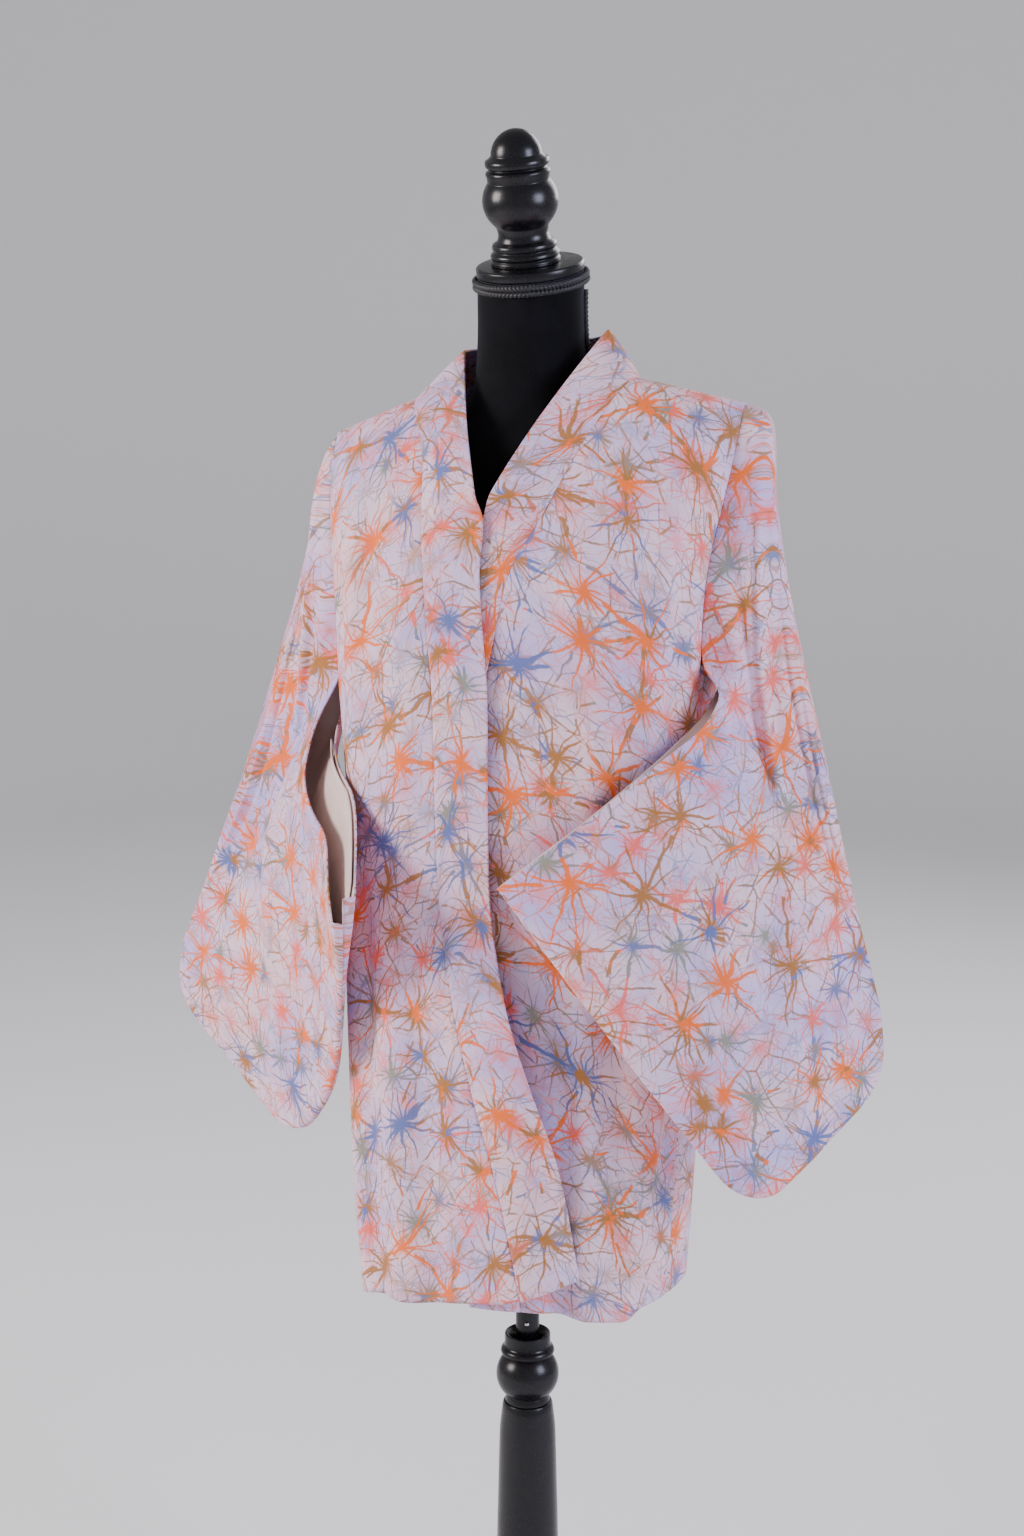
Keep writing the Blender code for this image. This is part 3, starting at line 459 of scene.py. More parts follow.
def twisted(shape, route, radius, lays, hand, around=14, along=720, closed=True):
    """A two-ply cord: its round section swells with each strand as it winds along the route."""
    def place(u, v):
        centre, out, up = route(v)
        turn = 2.0 * math.pi * u
        strand = abs(math.cos(turn + hand * math.pi * lays * v))
        size = radius * (0.66 + 0.34 * strand)
        return centre + (out * math.cos(turn) + up * math.sin(turn)) * size
    laid(shape, around, along, place)
    bmesh.ops.remove_doubles(shape, verts=shape.verts, dist=0.00001)
    if not closed:
        bmesh.ops.holes_fill(shape, edges=shape.edges, sides=0)
    bmesh.ops.recalc_face_normals(shape, faces=shape.faces)


ring = bmesh.new()
for below, hand in ((0.0034, 1.0), (0.0086, -1.0)):
    def round_neck(v, below=below):
        turn = 2.0 * math.pi * v
        out = Vector((math.cos(turn), math.sin(turn), 0.0))
        centre = out * (NECK_RADIUS + 0.0026) - Vector((0.0, 0.0, below))
        return centre, out, Vector((0.0, 0.0, 1.0))
    twisted(ring, round_neck, 0.0027, 88.0, hand)
bmesh.ops.transform(ring, matrix=NECK_FRAME, verts=ring.verts)
shown("neck_ring_braid", ring, BRAID, "neck_braid")


def down_neck(v):
    height = mix(1.4690, 1.3960, v)
    off = read(((1.385, 0.0588), (1.415, 0.0525), (1.445, 0.0503), (1.47, 0.0503)), 1, height)
    turn = math.radians(14.0)
    out = Vector((math.cos(turn), math.sin(turn), 0.0))
    return (out * off + Vector((0.0, 0.010, height)), out, Vector((-out.y, out.x, 0.0)))


drop = bmesh.new()
twisted(drop, down_neck, 0.0028, 18.0, 1.0, along=150, closed=False)
shown("neck_side_braid", drop, BRAID, "neck_cord")


# ---------------------------------------------------------------- body of the jacket
# Each half is one length of figured silk over the shoulder, front and back, seamed down the
# centre back and cut away for the neck. It is lined, and it hangs in soft folds from the chest.

INK_ORANGE = (1.0, 0.17, 0.010)
INK_OCHRE = (0.42, 0.165, 0.026)
INK_SLATE = (0.115, 0.16, 0.42)
INK_CORAL = (1.0, 0.14, 0.10)
INK_MOSS = (0.25, 0.26, 0.19)


def starbursts(place, spacing, seed, arms, arm_width, wander, links, reach):
    """Painted stars on a loose lattice. Gives their rays, links, hearts, ink number and radius."""
    tint = place
    shaken = place.vector("SUBTRACT", place.cloud(1.0 / wander, 1.0, 1), (0.5, 0.5, 0.5))
    moved = place.vector("MULTIPLY_ADD", shaken, (wander * 0.55,) * 3, place)
    at = place.vector("MULTIPLY_ADD", moved, (1.0 / spacing,) * 3, (seed, seed * 1.7, 0.0))
    cell = {"voronoi_dimensions": "2D"}
    values = {"Vector": at, "Scale": 1.0, "Randomness": 0.95}
    near = [tint.node("ShaderNodeTexVoronoi", {**cell, "feature": "F1"}, values, output)
            for output in (0, 2)]
    next_to = [tint.node("ShaderNodeTexVoronoi", {**cell, "feature": "F2"}, values, output)
               for output in (0, 2)]
    away = place.vector("SUBTRACT", at, near[1])
    x, y = away.parts(2)
    radius = near[0]
    inside = (next_to[0] - radius).step(0.0, 0.22)
    broken = moved.cloud(1.0 / 0.0032, 2.0)
    turn = (tint.sum("ARCTAN2", y, x) / (2.0 * math.pi) + 0.5) * arms
    arm = tint.sum("FLOOR", turn)
    toss_at = place.vector("MULTIPLY_ADD", near[1], (3.7, 3.7, 3.7),
                           tint.node("ShaderNodeCombineXYZ", {}, {0: arm * 1.37, 2: arm * 0.61}))
    lean, long, weight = toss_at.toss(1).parts(3)
    aside = tint.sum("ABSOLUTE", turn - arm - 0.5 - (lean - 0.5) * 0.7)
    aside = aside * radius * (2.0 * math.pi / arms)
    taper = tint.sum("MAXIMUM", 1.0 - radius / (reach * (0.45 + long)), 0.0)
    width = (taper * taper * 0.8 + taper * 0.2) * (0.25 + weight) * (arm_width / spacing)
    width = width * (0.35 + broken * 1.3)
    soft = 0.0004 / spacing
    rays = (width - aside).step(-soft, soft) * inside * taper.step(0.0, 0.05)
    heart_edge = 0.0042 / spacing + (broken - 0.5) * (0.012 / spacing) + weight * (0.003 / spacing)
    heart = (heart_edge - radius).step(-0.0016 / spacing, 0.0022 / spacing)
    span = place.vector("SUBTRACT", next_to[1], near[1])
    sx, sy = span.parts(2)
    size = place.vector("LENGTH", span, output=1)
    off_line = tint.sum("ABSOLUTE", x * sy - y * sx) / size
    along = (x * sx + y * sy) / (size * size)
    pair = place.vector("ADD", next_to[1], near[1]).toss(0)
    thread = (links / spacing) * (0.25 + pair) * (1.3 - along * 1.3) * (0.2 + broken * 1.3)
    lines = (thread - off_line).step(-soft, soft) * along.step(0.0, 0.04) * pair.step(0.10, 0.14)
    return tint.sum("MAXIMUM", rays, lines), heart, near[1].toss(0), radius


def inked(tint, number, stops):
    return tint.node("ShaderNodeValToRGB", {"stops": stops}, {0: number})


def figured_silk():
    made, shader, tint = finish_named("figured_silk", {
        "Sheen Weight": 0.10, "Sheen Roughness": 0.5, "Sheen Tint": (1.0, 0.95, 1.0, 1),
        "Specular IOR Level": 0.3})
    flat = tint.node("ShaderNodeUVMap", {"uv_map": "cloth"}, {})
    clouds = flat.cloud(9.0, 3.0)
    blush = flat.vector("ADD", flat, (3.1, 7.7, 0.0)).cloud(16.0, 3.0)
    colour = inked(tint, clouds, [
        (0.36, (0.58, 0.48, 0.88)), (0.47, (0.76, 0.58, 0.82)), (0.58, (0.88, 0.64, 0.75)),
        (0.70, (0.88, 0.58, 0.64))])
    colour = (blush.step(0.54, 0.72) * 0.55).over(colour, (0.86, 0.40, 0.50, 1))
    colour = ((1.0 - blush).step(0.56, 0.74) * 0.5).over(colour, (0.40, 0.41, 0.80, 1))
    speckle = flat.cloud(420.0, 2.0).step(0.60, 0.72) * flat.cloud(28.0, 2.0).step(0.5, 0.66)
    colour = (speckle * 0.4).over(colour, (0.70, 0.33, 0.40, 1))

    drift = flat.cloud(60.0, 2.0)
    for size, shift, width, strength, dark, light in (
            (0.021, 4.4, 0.00055, 0.62, (0.42, 0.30, 0.36), (0.86, 0.26, 0.24)),
            (0.031, 9.1, 0.00072, 0.76, (0.24, 0.25, 0.42), (0.62, 0.26, 0.16)),
            (0.044, 6.7, 0.00090, 0.88, (0.30, 0.17, 0.09), (0.46, 0.20, 0.06))):
        bent = flat.vector("MULTIPLY_ADD", flat.cloud(34.0, 2.0, 1), (0.010, 0.010, 0.0), flat)
        crackle = tint.node("ShaderNodeTexVoronoi", {
            "voronoi_dimensions": "2D", "feature": "DISTANCE_TO_EDGE"}, {
            "Vector": flat.vector("ADD", bent, (shift, shift * 0.6, 0.0)), "Scale": 1.0 / size}, 0)
        beads = flat.cloud(1.0 / 0.0035, 2.0)
        line = (beads * (2.4 * width / size) - crackle).step(0.0, 0.0003 / size)
        line = line * flat.cloud(52.0 + shift, 1.0).step(0.40, 0.50)
        ink = drift.step(0.44, 0.56).over((*dark, 1), (*light, 1))
        colour = (line * strength).over(colour, ink)

    # From the finest stars to the boldest: the stars; how far each star and the drift pick the
    # ink, and less what; the halo's start, end and share; the rays' and the heart's share; inks.
    for stars, (by_star, by_drift, less), (near, far, haze), rays, core, inks in (
            ((0.039, 3.1, 7, 0.0011, 0.026, 0.0012, 1.1), (0.5, 0.5, 0.0), (0.0, 1.0, 0.0),
             0.78, 0.0, [(0.36, (0.30, 0.34, 0.55)), (0.46, (0.42, 0.26, 0.18)),
                         (0.58, (0.60, 0.30, 0.24)), (0.70, (0.93, 0.28, 0.26))]),
            ((0.047, 5.3, 17, 0.0011, 0.024, 0.0008, 0.92), (0.6, 0.5, 0.0), (0.05, 0.42, 0.22),
             0.75, 0.0, [(0.30, (0.94, 0.28, 0.34)), (0.50, (0.93, 0.20, 0.16)),
                         (0.62, (0.42, 0.40, 0.74)), (0.80, (0.55, 0.34, 0.28))]),
            ((0.058, 1.9, 12, 0.0013, 0.026, 0.0020, 1.25), (0.75, 0.55, 0.12),
             (0.03, 0.28, 0.50), 0.88, 0.70, [
                 (0.22, INK_MOSS), (0.34, INK_SLATE), (0.46, (0.30, 0.22, 0.16)),
                 (0.56, INK_OCHRE), (0.74, INK_CORAL)]),
            ((0.070, 8.4, 13, 0.0018, 0.030, 0.0026, 1.25), (0.55, 0.80, 0.18),
             (0.02, 0.26, 0.62), 0.92, 0.85, [
                 (0.20, INK_SLATE), (0.28, INK_SLATE), (0.34, INK_OCHRE), (0.53, INK_OCHRE),
                 (0.58, INK_ORANGE), (0.80, INK_ORANGE)])):
        marks, heart, dye, away = starbursts(flat, *stars)
        ink = inked(tint, dye * by_star + drift * by_drift - less, inks)
        colour = ((1.0 - away.step(near, far)) * haze).over(colour, ink)
        colour = tint.sum("MAXIMUM", marks * rays, heart * core).over(colour, ink)
    feed(shader, tint, "Base Color", colour)

    twill = flat.vector("MULTIPLY_ADD", flat.cloud(300.0, 2.0, 1), (0.0012, 0.0012, 0.0), flat)
    cords = tint.node("ShaderNodeTexWave", {"wave_type": "BANDS", "bands_direction": "DIAGONAL"}, {
        "Vector": twill, "Scale": 190.0, "Distortion": 0.0})
    crepe = flat.cloud(1100.0, 2.0)
    feed(shader, tint, "Roughness", 0.62 + crepe * 0.18)
    bumped(shader, tint, cords * 0.5 + crepe * 0.7, 0.35, 0.0003)
    return made


def lining_silk():
    made, shader, tint = finish_named("pale_pink_lining", {
        "Roughness": 0.45, "Sheen Weight": 0.1, "Specular IOR Level": 0.4})
    flat = tint.node("ShaderNodeUVMap", {"uv_map": "cloth"}, {})
    clouds = flat.cloud(30.0, 3.0)
    feed(shader, tint, "Base Color", clouds.step(0.35, 0.7).over((0.80, 0.62, 0.58, 1),
                                                               (0.86, 0.72, 0.68, 1)))
    slubs = flat.vector("MULTIPLY", flat, (1.0, 0.06, 1.0)).cloud(1300.0, 2.0)
    bumped(shader, tint, slubs, 0.25, 0.0003)
    return made


SILK = figured_silk()
LINING = lining_silk()
SIGN = {"left": 1.0, "right": -1.0}
CHEST_Z = 1.12
NECK_X, NECK_Z = 0.106, 1.38
SHOULDER_DROP = 0.31
WORN_TILT = 0.085
ROUND = 2.5
LAY_GAP = 0.0035
SHOULDER_HALF = {"left": 0.2146, "right": 0.1962}
# level, half width, front depth, back depth
RINGS = (
    (1.00, 0.1805, 0.1240, 0.1120), (1.20, 0.1720, 0.1275, 0.1060), (1.50, 0.1680, 0.1290, 0.1080),
    (1.80, 0.1640, 0.1260, 0.1130), (2.00, 0.1560, 0.1210, 0.1120),
)
# angle round the body, hem height
HEM_RIGHT = ((-180, 0.505), (-90, 0.489), (-45, 0.511), (-13, 0.524), (0, 0.536), (14, 0.550),
             (32, 0.566))
HEM_LEFT = ((-12, 0.523), (20, 0.526), (50, 0.519), (60, 0.527), (90, 0.528), (180, 0.505))
# level, collar seam x, free edge x
RIGHT_EDGES = ((0.00, -0.1060, -0.1060), (0.20, -0.0760, -0.0760), (0.45, -0.0640, -0.0070),
               (0.67, -0.0560, -0.0020), (1.02, -0.0450, 0.0080), (1.31, -0.0380, 0.0120),
               (1.48, -0.0220, 0.0285), (1.64, -0.0010, 0.0510), (1.80, 0.0230, 0.0740),
               (2.00, 0.0420, 0.0900))
LEFT_EDGES = ((0.00, 0.1060, 0.1060), (0.12, 0.0920, 0.0920), (0.36, 0.0640, 0.0150),
              (0.48, 0.0490, -0.0020), (0.66, 0.0230, -0.0260), (0.93, 0.0070, -0.0420),
              (1.20, -0.0140, -0.0630), (1.50, -0.0120, -0.0610), (2.00, 0.0350, -0.0150))
LIGHT_CREASE = 0.009  # a fold lower than this wanders a little on its way down
ARM_HOLLOW = -0.0070  # the trough under the raised sleeve, which runs on below its bottom level
# Folds of the hanging cloth: top level and angle, bottom level and angle, spread before and
# after, height. The first rows are the deep ones, and the rest are light creases between them.
RIGHT_FOLDS = (
    (1.22, 2, 2.00, 13, 26, 15, 0.0190), (1.05, -58, 2.00, -62, 14, 12, 0.0070),
    (1.10, -30, 2.00, -27, 11, 12, 0.0060),
    (0.30, -42, 1.22, -50, 8, 10, 0.0058), (0.42, -34, 0.98, -37, 7, 5, -0.0044),
    (0.55, -58, 1.38, -66, 7, 9, -0.0071), (1.16, -46, 2.00, -44, 9, 7, -0.0078),
    (1.42, -17, 2.00, -12, 8, 6, -0.0061), (0.70, -19, 1.45, -21, 7, 8, 0.0041),
    (0.84, -66, 1.18, -52, 6, 5, 0.0044), (1.52, -72, 2.00, -74, 6, 7, 0.0058),
)
LEFT_FOLDS = (
    (1.35, 71, 2.00, 49, 26, 9, 0.0130), (0.45, 33, 1.25, 44, 12, 12, ARM_HOLLOW),
    (0.24, 44, 1.02, 58, 8, 9, 0.0065), (0.52, 24, 1.10, 22, 6, 8, 0.0044),
    (0.62, 66, 1.18, 60, 6, 7, -0.0068), (0.85, 34, 1.72, 30, 9, 8, 0.0061),
    (1.25, 20, 2.00, 22, 8, 9, -0.0051), (1.48, 36, 2.00, 31, 8, 6, 0.0075),
    (1.40, 62, 1.86, 54, 5, 5, -0.0054),
)
BACK_FOLDS = (
    (0.70, 152, 2.00, 147, 15, 13, 0.0080), (0.85, 120, 2.00, 124, 12, 14, 0.0070),
    (0.75, 205, 2.00, 211, 13, 15, 0.0085), (0.95, 238, 2.00, 236, 12, 12, 0.0065),
    (0.40, 132, 1.15, 112, 10, 9, -0.0054), (0.45, 228, 1.22, 248, 9, 10, -0.0057),
    (0.95, 167, 2.00, 169, 8, 7, -0.0063), (1.10, 193, 2.00, 190, 7, 8, -0.0060),
    (1.30, 136, 2.00, 135, 7, 6, -0.0057), (1.25, 224, 2.00, 225, 6, 7, -0.0060),
    (0.30, 160, 0.95, 150, 8, 8, 0.0045), (0.34, 203, 0.90, 213, 8, 7, 0.0042),
)


def half_width(side, level):
    if level >= 1.0:
        return read(RINGS, 1, level)
    return mix(SHOULDER_HALF[side], RINGS[0][1], ease(level))


def depth(level, back):
    if level >= 1.0:
        return read(RINGS, 3 if back else 2, level)
    return RINGS[0][3 if back else 2] * math.sqrt(max(1.0 - (1.0 - level)**2, 0.0))


def fold_height(folds, level, angle):
    """Outward lift of the folds at a place; a fold that stops above the hem swells and dies."""
    lift = 0.0
    for top, top_angle, bottom, bottom_angle, before, after, height in folds:
        share = (level - top) / (bottom - top)
        if not 0.0 < share:
            continue
        off = angle - mix(top_angle, bottom_angle, min(share, 1.0))
        if abs(height) < LIGHT_CREASE:
            off += 2.2 * math.sin(5.1 * share + top_angle) * min(share, 1.0)**2
        spread = before if off < 0 else after
        if abs(off) >= spread:
            continue
        if bottom > 1.9 or height == ARM_HOLLOW:
            rise = ease(share * 2.2)
        else:
            rise = math.sin(math.pi * min(share, 1.0)**0.75)
        lift += height * rise * 0.5 * (1.0 + math.cos(math.pi * off / spread))
    return lift


def body_point(side, level, angle, lift=0.0):
    """A place on the body: level 0 is the shoulder, 1 the underarm, 2 the hem; angle 0 is front."""
    turn = math.radians(angle)
    sine, cosine = math.sin(turn), math.cos(turn)
    wide, deep = half_width(side, level), depth(level, cosine < 0.0)
    x = wide * math.copysign(abs(sine)**(2.0 / ROUND), sine)
    y = -deep * math.copysign(abs(cosine)**(2.0 / ROUND), cosine)
    if level < 1.0:
        ridge = NECK_Z - (abs(x) - NECK_X) * SHOULDER_DROP
        z = mix(ridge, CHEST_Z, level) + WORN_TILT * x
    else:
        if side == "right":
            hem = read(HEM_RIGHT, 1, angle if angle <= 90 else angle - 360)
        else:
            hem = read(HEM_LEFT, 1, angle)
        z = mix(CHEST_Z + WORN_TILT * x, hem, level - 1.0)
    if lift:
        deep = max(deep, 0.01)
        out = Vector((math.copysign(abs(x / wide)**(ROUND - 1) / wide, x),
                      math.copysign(abs(y / deep)**(ROUND - 1) / deep, y), 0.0)).normalized()
        x, y = x + lift * out.x, y + lift * out.y
    return Vector((x, y, z))


def angle_of(side, level, x):
    share = min(abs(x) / half_width(side, level), 1.0)
    return math.copysign(math.degrees(math.asin(share**(ROUND / 2.0))), x)


def side_angle(level):
    return read(((0.0, 74.0), (0.6, 75.0), (1.0, 80.0), (2.0, 77.5)), 1, level)


def front_lift(side, level, angle):
    """The folds of a front, and the space that the two laps leave each other."""
    if side == "right":
        lap = LAY_GAP * ease((level - 0.30) / 0.25) * ease((angle + 32.0) / 22.0)
        return lap + fold_height(RIGHT_FOLDS, level, angle)
    lap = -LAY_GAP * ease((level - 0.30) / 0.25) * (1.0 - ease((angle - 28.0) / 20.0))
    return lap + fold_height(LEFT_FOLDS, level, angle)


def seam_angle(side, level):
    return angle_of(side, level, read(RIGHT_EDGES if side == "right" else LEFT_EDGES, 1, level))


def level_down(share):
    """Level at a share of the cloth's way down; above the underarm it rounds the shoulder."""
    if share < 0.34:
        return 1.0 - math.cos(share / 0.34 * math.pi / 2.0)
    return 1.0 + (share - 0.34) / 0.66


def closer_at_ends(share, pull=0.7):
    return share - pull * math.sin(2.0 * math.pi * share) / (2.0 * math.pi)


def seam_dip(metres):
    """Depth of the valley where two panels are sewn, by distance from the seam."""
    return -0.0011 * math.exp(-(metres / 0.0026)**2)


def rumple(point, height):
    """The slight unevenness of hanging silk: long and upright, never regular."""
    long = noise.noise(Vector((point.x * 16.0, point.y * 16.0, point.z * 5.0)))
    short = noise.noise(Vector((point.x * 44.0, point.y * 44.0, point.z * 19.0 + 7.0)))
    return height * (long + 0.35 * short)


def ridge_point(side, share):
    """The shoulder line, 0 at the armhole and 1 at the neck."""
    edge = body_point(side, 0.0, SIGN[side] * side_angle(0.0))
    x = mix(edge.x, SIGN[side] * NECK_X, share)
    return Vector((x, 0.0, NECK_Z - (abs(x) - NECK_X) * SHOULDER_DROP + WORN_TILT * x))


def front_cloth(side, across, down):
    """A front: across from the armhole or side seam to the collar seam."""
    across = closer_at_ends(across)
    level = level_down(down)
    start, end = seam_angle(side, level), SIGN[side] * side_angle(level)
    share = 1.0 - across
    angle = mix(start, end, share**0.92)
    lift = front_lift(side, level, angle) * (1.0 - ease((share - 0.8) / 0.2))
    wide = 0.0026 * abs(end - start)
    inner = math.sin(math.pi * across)**0.5 * ease(level / 0.3)
    point = body_point(side, level, angle)
    lift += rumple(point, 0.0022) * inner
    lift += seam_dip(share * wide) + seam_dip(across * wide)
    point = body_point(side, level, angle, lift if level > 0.02 else 0.0)
    if level < 0.15:
        ridge = ridge_point(side, across)
        flat = body_point(side, 0.0, mix(seam_angle(side, 0.0), SIGN[side] * side_angle(0.0),
                                         share**0.92))
        point += (ridge - flat) * (1.0 - ease(level / 0.15))
    return point


def neck_back(side, share):
    turn = share * math.pi / 2.0
    x = SIGN[side] * NECK_X * math.cos(turn)**0.8
    return Vector((x, 0.078 * math.sin(turn), NECK_Z - 0.012 * math.sin(turn) + WORN_TILT * x))


RIDGE_SHARE = 6.0 / 11.0


def back_cloth(side, across, down):
    """A back: across from the armhole or side seam to the centre-back seam."""
    if across <= RIDGE_SHARE:
        top = ridge_point(side, closer_at_ends(across / RIDGE_SHARE))
        across = closer_at_ends(across / RIDGE_SHARE) * RIDGE_SHARE
    else:
        top = neck_back(side, (across - RIDGE_SHARE) / (1.0 - RIDGE_SHARE))
    level = level_down(down)
    low = max(level, 1.0)
    start = 180.0 - side_angle(low)
    angle = SIGN[side] * mix(start, 180.0, across**0.9)
    around = angle if angle >= 0 else angle + 360.0
    near_ends = ease(across / 0.12) * (1.0 - ease((across - 0.86) / 0.14))
    lift = fold_height(BACK_FOLDS, low, around) * near_ends
    still = body_point(side, low, angle)
    bumps = rumple(still, 0.0024) * near_ends
    bumps += seam_dip(across * 0.19) + seam_dip((1.0 - across) * 0.19)
    if level >= 1.0:
        point = body_point(side, level, angle, lift + bumps)
    else:
        point = body_point(side, 1.0, angle, lift + bumps)
        high = fold_height(BACK_FOLDS, level, around) * near_ends
        point = Vector((mix(top.x, point.x, ease(level)),
                        mix(top.y, point.y, math.sqrt(1.0 - (1.0 - level)**2)) + high * 0.6,
                        mix(top.z, point.z, level)))
        edge = body_point(side, level, SIGN[side] * (180.0 - side_angle(level)))
        point = mix(edge, point, ease(across / 0.10)) if across < 0.10 else point
    if across > 0.999:
        point.x = 0.0
    return point


def cloth_piece(name, shape, node, wall=0.0016, inner=None, doubles=0.00006):
    """Welds a laid cloth, subdivides it once and gives it its wall, with a lining inside."""
    bmesh.ops.remove_doubles(shape, verts=shape.verts, dist=doubles)
    bmesh.ops.recalc_face_normals(shape, faces=shape.faces)
    made = shown(name, shape, SILK, node)
    made.data.materials.append(inner or LINING)
    finer = made.modifiers.new("smooth", "SUBSURF")
    finer.levels = finer.render_levels = 1
    finer.boundary_smooth = "PRESERVE_CORNERS"
    thick = made.modifiers.new("wall", "SOLIDIFY")
    thick.thickness = wall
    thick.offset = 0.0
    thick.use_even_offset = False
    thick.material_offset = 1
    thick.material_offset_rim = 0
    return made


for side in ("left", "right"):
    half = bmesh.new()
    shift = 0.0 if side == "left" else 0.77
    laid(half, 24, 110, lambda across, down: front_cloth(side, across, down), (shift, 0.9))
    laid(half, 44, 110, lambda across, down: back_cloth(side, across, down), (shift, 0.9), True)
    body = cloth_piece(f"{side}_body_panel", half, f"body_{side}")


# ---------------------------------------------------------------- side gussets
# The machi: a narrow tapered panel let in between the front and the back at each side, from the
# underarm to the hem.

def gusset_cloth(side, across, down):
    level = 1.004 + 0.996 * down
    start = side_angle(level)
    angle = SIGN[side] * mix(start, 180.0 - start, across)
    lift = rumple(body_point(side, level, angle), 0.0016) * math.sin(math.pi * across)
    lift += seam_dip(across * 0.062) + seam_dip((1.0 - across) * 0.062)
    return body_point(side, level, angle, lift)


for side in ("left", "right"):
    strip = bmesh.new()
    laid(strip, 10, 76, lambda across, down: gusset_cloth(side, closer_at_ends(across), down),
         (1.6, 0.0 if side == "left" else 0.7))
    gusset = cloth_piece(f"{side}_side_gusset", strip, f"gusset_{side}")


# ---------------------------------------------------------------- sleeves
# The sode: a square bag of one length of silk folded over its top, sewn along its foot and its
# outer edge below the wrist, and open along its inner edge below the armhole.

SLEEVE_WIDE, SLEEVE_DEEP = 0.35, 0.50
ARMHOLE_LENGTH, CUFF_OPEN = 0.23, 0.23
# distance along the edge, x, y, z of the middle of the bag; zeros stand for the armhole's end
EDGES = {
    "left": (
        ((0.00, 0.0, 0.0, 0.0), (0.03, 0.2290, 0.000, 1.3570), (0.055, 0.2340, 0.002, 1.3320),
         (0.10, 0.2350, 0.006, 1.2850), (0.20, 0.2480, 0.022, 1.1850),
         (0.35, 0.2780, 0.038, 1.0400)),
        ((0.00, 0.2780, 0.038, 1.0400), (0.14, 0.3060, 0.042, 0.9050),
         (0.28, 0.3380, 0.040, 0.7570),
         (0.39, 0.3050, -0.030, 0.6980), (0.50, 0.2520, -0.102, 0.6420)),
        ((0.00, 0.0300, -0.162, 0.9430), (0.175, 0.1420, -0.150, 0.8000),
         (0.35, 0.2520, -0.102, 0.6420)),
        ((0.23, 0.0, 0.0, 0.0), (0.30, 0.1800, -0.060, 1.0850), (0.38, 0.1240, -0.128, 1.0220),
         (0.50, 0.0300, -0.162, 0.9430))),
    "right": (
        ((0.00, 0.0, 0.0, 0.0), (0.03, -0.2050, -0.001, 1.3130), (0.10, -0.2190, 0.002, 1.2500),
         (0.20, -0.2500, 0.012, 1.1560), (0.35, -0.3060, 0.030, 1.0150)),
        ((0.00, -0.3060, 0.030, 1.0150), (0.15, -0.3620, 0.055, 0.8820),
         (0.28, -0.4110, 0.072, 0.7520), (0.39, -0.3360, 0.038, 0.6790),
         (0.50, -0.2400, -0.022, 0.6240)),
        ((0.00, -0.0960, -0.215, 0.9350), (0.13, -0.1310, -0.143, 0.8300),
         (0.25, -0.1700, -0.082, 0.7150), (0.35, -0.2400, -0.022, 0.6240)),
        ((0.23, 0.0, 0.0, 0.0), (0.29, -0.1740, -0.060, 1.0500), (0.38, -0.1330, -0.130, 0.9950),
         (0.50, -0.0960, -0.215, 0.9350))),
}
RIGHT_ROLL = ((0.230, 0.0), (0.262, 0.036), (0.33, 0.044), (0.40, 0.024), (0.46, 0.040),
              (0.50, 0.036))
FACING = {"left": (14.0, 34.0), "right": (-54.0, -36.0)}
# Creases on the flat cloth, in metres from the armhole and down from the top: where each starts
# and ends, how far it bows, its spread and its height.
FRONT_CREASES = {
    "left": (
        (0.02, 0.035, 0.185, 0.33, 0.012, 0.024, 0.0094),
        (0.012, 0.12, 0.24, 0.37, -0.01, 0.02, -0.0083),
        (0.04, 0.225, 0.33, 0.42, 0.014, 0.026, 0.009),
        (0.12, 0.06, 0.3, 0.205, 0.008, 0.017, -0.0065),
        (0.215, 0.045, 0.345, 0.15, -0.006, 0.014, 0.0054),
        (0.06, 0.33, 0.235, 0.475, 0.01, 0.018, -0.0061),
        (0.235, 0.25, 0.345, 0.315, 0.005, 0.013, -0.005),
        (0.13, 0.395, 0.33, 0.47, -0.008, 0.015, 0.0054),
        (0.008, 0.185, 0.115, 0.215, 0.006, 0.012, 0.0061)),
    "right": (
        (0.018, 0.03, 0.16, 0.36, 0.01, 0.022, 0.0083),
        (0.012, 0.105, 0.235, 0.33, -0.011, 0.019, -0.0076),
        (0.055, 0.245, 0.3, 0.45, 0.012, 0.024, 0.0083),
        (0.13, 0.05, 0.29, 0.19, 0.007, 0.015, -0.0058),
        (0.225, 0.06, 0.345, 0.185, -0.006, 0.013, 0.005),
        (0.1, 0.36, 0.225, 0.48, 0.008, 0.016, -0.0054),
        (0.25, 0.235, 0.345, 0.33, 0.006, 0.014, -0.0054),
        (0.01, 0.17, 0.095, 0.205, 0.005, 0.011, 0.0054)),
}
BACK_CREASES = (
    (0.02, 0.04, 0.21, 0.3, -0.01, 0.024, 0.0064),
    (0.06, 0.15, 0.29, 0.34, 0.009, 0.02, -0.0058),
    (0.11, 0.26, 0.32, 0.43, 0.01, 0.018, 0.0048),
    (0.17, 0.06, 0.33, 0.19, -0.008, 0.016, -0.0048),
    (0.14, 0.4, 0.31, 0.47, 0.006, 0.014, -0.0038),
    (0.25, 0.18, 0.345, 0.25, 0.004, 0.012, 0.0042),
)


